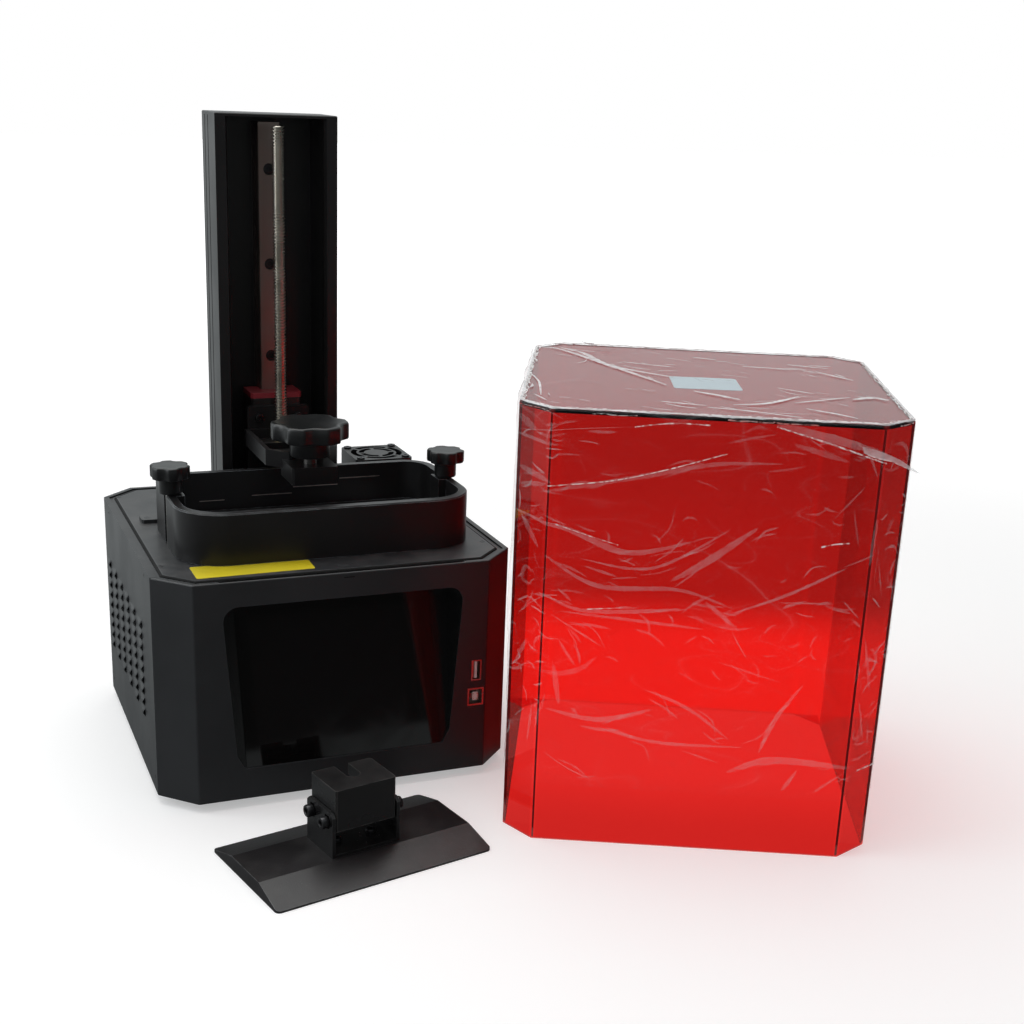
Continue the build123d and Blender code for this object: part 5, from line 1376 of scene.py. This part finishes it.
class Film(Builder):
    """The film's mesh, with the haze and the painted glint dashes of each point."""

    def __init__(self, rows):
        super().__init__()
        self.rings(rows, cap_start=False)
        self.plain_faces = len(self.faces)
        self.haze, self.dashed = [0.0] * len(self.verts), [0.0] * len(self.verts)

    def add(self, spot, haze, dashed):
        self.verts.append(spot)
        self.haze.append(haze)
        self.dashed.append(dashed)

    def ridges(self, lines, place):
        """Low tapered ridges along the given lines."""
        rough = random.Random(5)
        for width, strength, points in lines:
            path = swept(points, 2.0)
            bend, total = rough.uniform(-0.3, 0.3), len(path) - 1
            # a haze over 1 marks a line drawn as a painted glint
            painted_glint = strength > 1
            for k, (u, v) in enumerate(path):
                (a, b), (c, d) = path[max(0, k - 1)], path[min(total, k + 1)]
                run = hypot(c - a, d - b) or 1.0
                across = (-(d - b) / run, (c - a) / run)
                t = k / total
                swell = max(0.0, sin(pi * (t + bend * t * (1 - t)))) ** 0.7
                w = width / 2 * (0.12 + 0.88 * swell) * rough.uniform(0.85, 1.15)
                if painted_glint:
                    w = width / 2 * rough.uniform(0.6, 1.3)
                for share, lift in ((-1, 0.00012), (-0.2, 0.00022 + 0.00006 * width), (1, 0.00012)):
                    self.add(place(u + across[0] * w * share, v + across[1] * w * share, lift),
                             0.75 if painted_glint else strength * (0.6 + 0.4 * swell), float(painted_glint))
                if k:
                    n = len(self.verts)
                    self.faces += [(n - 6 + m, n - 5 + m, n - 2 + m, n - 3 + m) for m in (0, 1)]

    def loose_end(self, across=5):
        """The loose end of the overlap, past the front right corner."""
        start = len(self.verts)
        for (u0, z0), (u1, z1) in LOOSE_END:
            for k in range(across):
                t = k / (across - 1)
                u, z = u0 + (u1 - u0) * t, z0 + (z1 - z0) * t
                y = -COVER_HALF - 0.0011 + 0.0008 * wave(u / 4, z / 3, 2.0)
                # the lower edge is drawn as a painted glint
                last = k == across - 1
                self.add(Vector((COVER_LEG - COVER_HALF + u / 1000, y, z / 1000)),
                         0.8 if last else 0.30 + 0.14 * t, float(last))
        for r in range(len(LOOSE_END) - 1):
            for a in range(start + r * across, start + r * across + across - 1):
                self.faces.append((a, a + 1, a + across + 1, a + across))


class PRINTER_OT_film(bpy.types.Operator):
    """Draw the creased protective film over the cover"""
    bl_idname = "printer.film"
    bl_label = "Protective film"

    def execute(self, context):
        s, chance = context.scene.printer_parts, random.Random(11)
        low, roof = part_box("cover_wrap")[0].z, top_of("cover") + 0.00045
        film = Film([[film_point(*point, low, s.fold_height) for point in row]
                     for row in film_rows(low, roof, s.film_step)])

        def on_wall(u, v, lift):
            spot = wall_spot(u / 1000, v / 1000, 0.0)
            return wall_spot(u / 1000, v / 1000, FILM_OFF + fold(*spot, s.fold_height) + lift)

        def on_roof(x, y, lift):
            x, y = x / 1000, y / 1000
            return Vector((x, y, roof + fold(x, y, roof, s.fold_height) * 0.55 + lift))

        def on_rim(u, inset, lift):
            spot = wall_spot(u / 1000, roof, max(0.0, inset) / -1000)
            return spot + Vector((0, 0, lift + 0.0001 + min(0.0, inset) / 1000))

        rim, stray = rim_lines(chance), stray_creases(chance)
        stray += short_creases(chance, 80, ((179, 202), (-24, -1)), (62, 246), (0.2, 0.7), (4, 13), 0.4,
                               (0.6, 1.5), (0.09, 0.22), WALL_BAND)
        streaks = short_creases(chance, 60, ((-98, 92),), (-98, 96), (-0.45, 0.4), (5, 19), 0.25,
                                (0.5, 1.1), (0.22, 0.5), ROOF_BAND)
        wall, top = fold_rows(WALL_FOLDS, 0.16, 0.9), fold_rows(ROOF_FOLDS, 0.85, 1.3)
        small = beside([row for row in wall if row[1] < 1], chance, 15, WALL_BAND)
        small_top = [row for row in beside(top, chance, 30, ROOF_BAND)
                     if all(abs(x) < 103 and abs(x) + abs(y) < 188 for x, y in row[2])]
        for lines, place in ((wall, on_wall), (small, on_wall), (stray, on_wall), (streaks, on_roof),
                             (top, on_roof), (small_top, on_roof), (rim, on_rim)):
            film.ridges(lines, place)
        film.loose_end()
        film.verts = [COVER_FRAME @ Vector(v) for v in film.verts]
        made = film.piece("protective_film", "protective_film", "cover", "wrap_clear", 80, ("cover_wrap",))
        for name, values in (("haze", film.haze), ("dashed", film.dashed)):
            made.data.attributes.new(name, "FLOAT", "POINT").data.foreach_set("value", values)
        made.data.materials.append(finish("film_ridge"))
        for polygon in list(made.data.polygons)[film.plain_faces:]:
            polygon.material_index = 1
        return {"FINISHED"}


class PRINTER_OT_platform(bpy.types.Operator):
    """Finish the build platform, its bracket and its head"""
    bl_idname = "printer.platform"
    bl_label = "Build platform"

    def execute(self, context):
        dress("blasted_plate", "platform_plate")
        dress("bracket_coat", "platform_bracket")
        dress("head_anodised", "platform_block")
        return {"FINISHED"}


# ------------------------------------------------------------------ operator: stage

COOL_WHITE = (0.93, 0.99, 1, 1)      # what gloss sees of the floor and the room


def emptied(owner):
    """The emptied node tree of a material or a world."""
    owner.use_nodes = True
    owner.node_tree.nodes.clear()
    return Net(owner.node_tree)


def seen_rays(net):
    """1 for rays from the camera, and for those that gloss or clear sheet sends on."""
    path = net.node("LightPath").outputs
    return path["Is Camera Ray"], path["Is Glossy Ray"], path["Is Transmission Ray"]


def second_hand(net):
    """Less than 1 for what gloss on the printer shows of the cover."""
    depth = net.math("MINIMUM", net.node("LightPath").outputs["Glossy Depth"], 1.0)
    return net.less(1.0, net.times(depth, 0.45))


def studio_floor(s, heart):
    """Pale paper, shown in its own way to the camera, to gloss and through the cover, where painted light
    lies on it.
    """
    made = bpy.data.materials.new("studio_floor")
    net = emptied(made)
    spot = net.spot()
    flat = net.vector("SUBTRACT", spot, (heart.x, heart.y, 0))[0]
    away, depth = net.vector("LENGTH", flat)["Value"], net.parts(flat)["Y"]
    camera, glossy, through = seen_rays(net)
    paper = net.node("BsdfDiffuse", {"Color": (0.74, 0.74, 0.74, 1)}).outputs[0]
    glow = net.shaded("Emission", WHITE, net.times(camera, net.ramp(away, 0.5, 2.2, 0.36, 1.0)))
    mirrored = net.shaded("Emission", COOL_WHITE, net.ramp(depth, -0.45, 0.9, s.floor_front, s.floor_back))
    x, y = (net.in_cover(spot)[axis] for axis in "XY")
    # painted light seen through the cover: the floor's brightness fades with distance
    behind = net.times(net.ramp(y, 0.38, 0.24, 0.44, 1.0), net.ramp(y, 0.40, 0.95, s.floor_near, s.floor_far))
    under = 1.0
    for part in (x, y):
        under = net.times(under, net.ramp(net.math("ABSOLUTE", part), COVER_HALF, COVER_HALF - 0.002))
    # painted light under the cover: a red pool, darker towards the front
    inside = net.blend(net.ramp(y, -0.09, 0.0), (0.62, 0.12, 0.12, 1), (0.77, 0.165, 0.17, 1))
    beyond = net.shaded("Emission", net.blend(under, WHITE, inside),
                        net.times(net.math("MAXIMUM", behind, under), second_hand(net)))
    lit = net.node("AddShader", {0: paper, 1: glow}).outputs[0]
    net.node("OutputMaterial", {0: net.mixed(through, net.mixed(glossy, lit, mirrored), beyond)})
    return made


def studio_room(s):
    """White to the camera, an even light for all else, brighter behind and above for gloss."""
    made = bpy.data.worlds.new("studio_room")
    net = emptied(made)
    way = net.parts(net.node("TexCoord").outputs["Generated"])
    camera, glossy, through = seen_rays(net)
    tone = net.plus(net.ramp(way["Y"], -0.35, 0.55, 0.03, 0.62), net.ramp(way["X"], 0.1, -0.8, 0.0, 0.25))
    tone = net.plus(tone, net.ramp(way["Z"], 0.35, 0.9, 0.0, 0.45))
    ahead = net.times(net.ramp(way["Y"], -0.6, -0.85), net.ramp(way["Z"], 0.151, 0.147))
    room = net.shaded("Background", (0.97, 0.985, 1.0, 1), s.room)
    mirrored = net.shaded("Background", COOL_WHITE, net.plus(tone, net.times(ahead, 0.26)))
    beyond = net.shaded("Background", WHITE, net.times(second_hand(net), 0.41))
    lit = net.mixed(through, net.mixed(glossy, room, mirrored), beyond)
    net.node("OutputWorld", {0: net.mixed(camera, lit, net.shaded("Background", WHITE, 1.0))})
    return made


def softbox(name, spot, aim, size, energy, colour):
    data = bpy.data.lights.new(name, "AREA")
    data.shape, (data.size, data.size_y) = "RECTANGLE", size
    data.energy, data.color = energy, colour
    made = bpy.data.objects.new(name, data)
    bpy.context.scene.collection.objects.link(made)
    made.location = spot
    made.rotation_euler = (aim - spot).to_track_quat("-Z", "Y").to_euler()


def studio_camera():
    """A camera in front, to the left and a little above, looking down on the group."""
    data = bpy.data.cameras.new("studio_camera")
    data.sensor_width, data.lens = 36.0, 52.984
    data.shift_x, data.shift_y = -0.01624, 0.07884
    data.clip_start, data.clip_end = 0.05, 60
    made = bpy.data.objects.new("studio_camera", data)
    bpy.context.scene.collection.objects.link(made)
    az, el, roll = radians(23.70), radians(-18.68), radians(2.52)
    ahead = Vector((sin(az) * cos(el), cos(az) * cos(el), sin(el)))
    level = Vector((cos(az), -sin(az), 0))
    upright = level.cross(ahead)
    right = cos(roll) * level + sin(roll) * upright
    up = -sin(roll) * level + cos(roll) * upright
    turn = Matrix((right, up, -ahead)).transposed().to_4x4()
    made.matrix_world = Matrix.Translation(at(-239.31, -921.54, 419.08)) @ turn
    return made


class PRINTER_OT_stage(bpy.types.Operator):
    """Lay the floor, set the lamps and the room, and place the camera"""
    bl_idname = "printer.stage"
    bl_label = "Stage"

    def execute(self, context):
        scene, s = context.scene, context.scene.printer_stage
        heart = (CAD_BOX[0] + CAD_BOX[1]) / 2
        size = 9.0
        mesh = bpy.data.meshes.new("studio_floor")
        mesh.from_pydata([(-size, -size, 0), (size, -size, 0), (size, size, 0), (-size, size, 0)], [],
                         [(0, 1, 2, 3)])
        mesh.materials.append(studio_floor(s, heart))
        floor = bpy.data.objects.new("studio_floor", mesh)
        scene.collection.objects.link(floor)
        scene.world = studio_room(s)
        heart.z = 0
        aim = heart + Vector((0, 0, 0.15))
        # lamp, its place from the middle of the group, its size, power and colour
        for name, away, wide, energy, tone in (
                ("ceiling_light", (-0.2, 0.35, 1.55), (1.7, 1.3), s.ceiling, (1.0, 0.985, 0.96)),
                ("side_light", (-1.35, 0.15, 0.75), (0.9, 1.2), s.side, (0.93, 0.97, 1.0)),
                ("front_light", (-0.5, -1.6, 1.35), (1.1, 0.8), s.fill, (1, 1, 1))):
            softbox(name, heart + Vector(away), aim, wide, energy, tone)
        scene.camera = studio_camera()
        scene.view_settings.view_transform = "Standard"
        return {"FINISHED"}


# ------------------------------------------------------------------ add-on

class PRINTER_PT_panel(bpy.types.Panel):
    """Lists the printer's pieces and settings"""
    bl_idname = "PRINTER_PT_panel"
    bl_label = "Resin Printer"
    bl_space_type = "VIEW_3D"
    bl_region_type = "UI"
    bl_category = "Resin Printer"

    def draw(self, context):
        scene = context.scene
        for title, held in (("Colours", scene.printer_finish), ("Sizes", scene.printer_parts),
                            ("Stage", scene.printer_stage)):
            column = self.layout.column(heading=title)
            for key in held.__class__.__annotations__:
                column.prop(held, key)
        column = self.layout.column(heading="Build")
        for operator in STEPS:
            column.operator(operator.bl_idname)


STEPS = (PRINTER_OT_stage, PRINTER_OT_housing, PRINTER_OT_front, PRINTER_OT_vat, PRINTER_OT_knobs,
         PRINTER_OT_column, PRINTER_OT_lead_screw, PRINTER_OT_carriage, PRINTER_OT_fasteners, PRINTER_OT_fan,
         PRINTER_OT_rear, PRINTER_OT_insides, PRINTER_OT_marks, PRINTER_OT_cover, PRINTER_OT_film,
         PRINTER_OT_platform)
CLASSES = (FinishSettings, PartSettings, StageSettings, *STEPS, PRINTER_PT_panel)


def register():
    for made in CLASSES:
        bpy.utils.register_class(made)
    bpy.types.Scene.printer_finish = PointerProperty(type=FinishSettings)
    bpy.types.Scene.printer_parts = PointerProperty(type=PartSettings)
    bpy.types.Scene.printer_stage = PointerProperty(type=StageSettings)


def unregister():
    del bpy.types.Scene.printer_finish
    del bpy.types.Scene.printer_parts
    del bpy.types.Scene.printer_stage
    for made in reversed(CLASSES):
        bpy.utils.unregister_class(made)


def main():
    register()
    for step in STEPS:
        name = step.bl_idname.split(".")[1]
        getattr(bpy.ops.printer, name)()


if __name__ == "__main__":
    main()
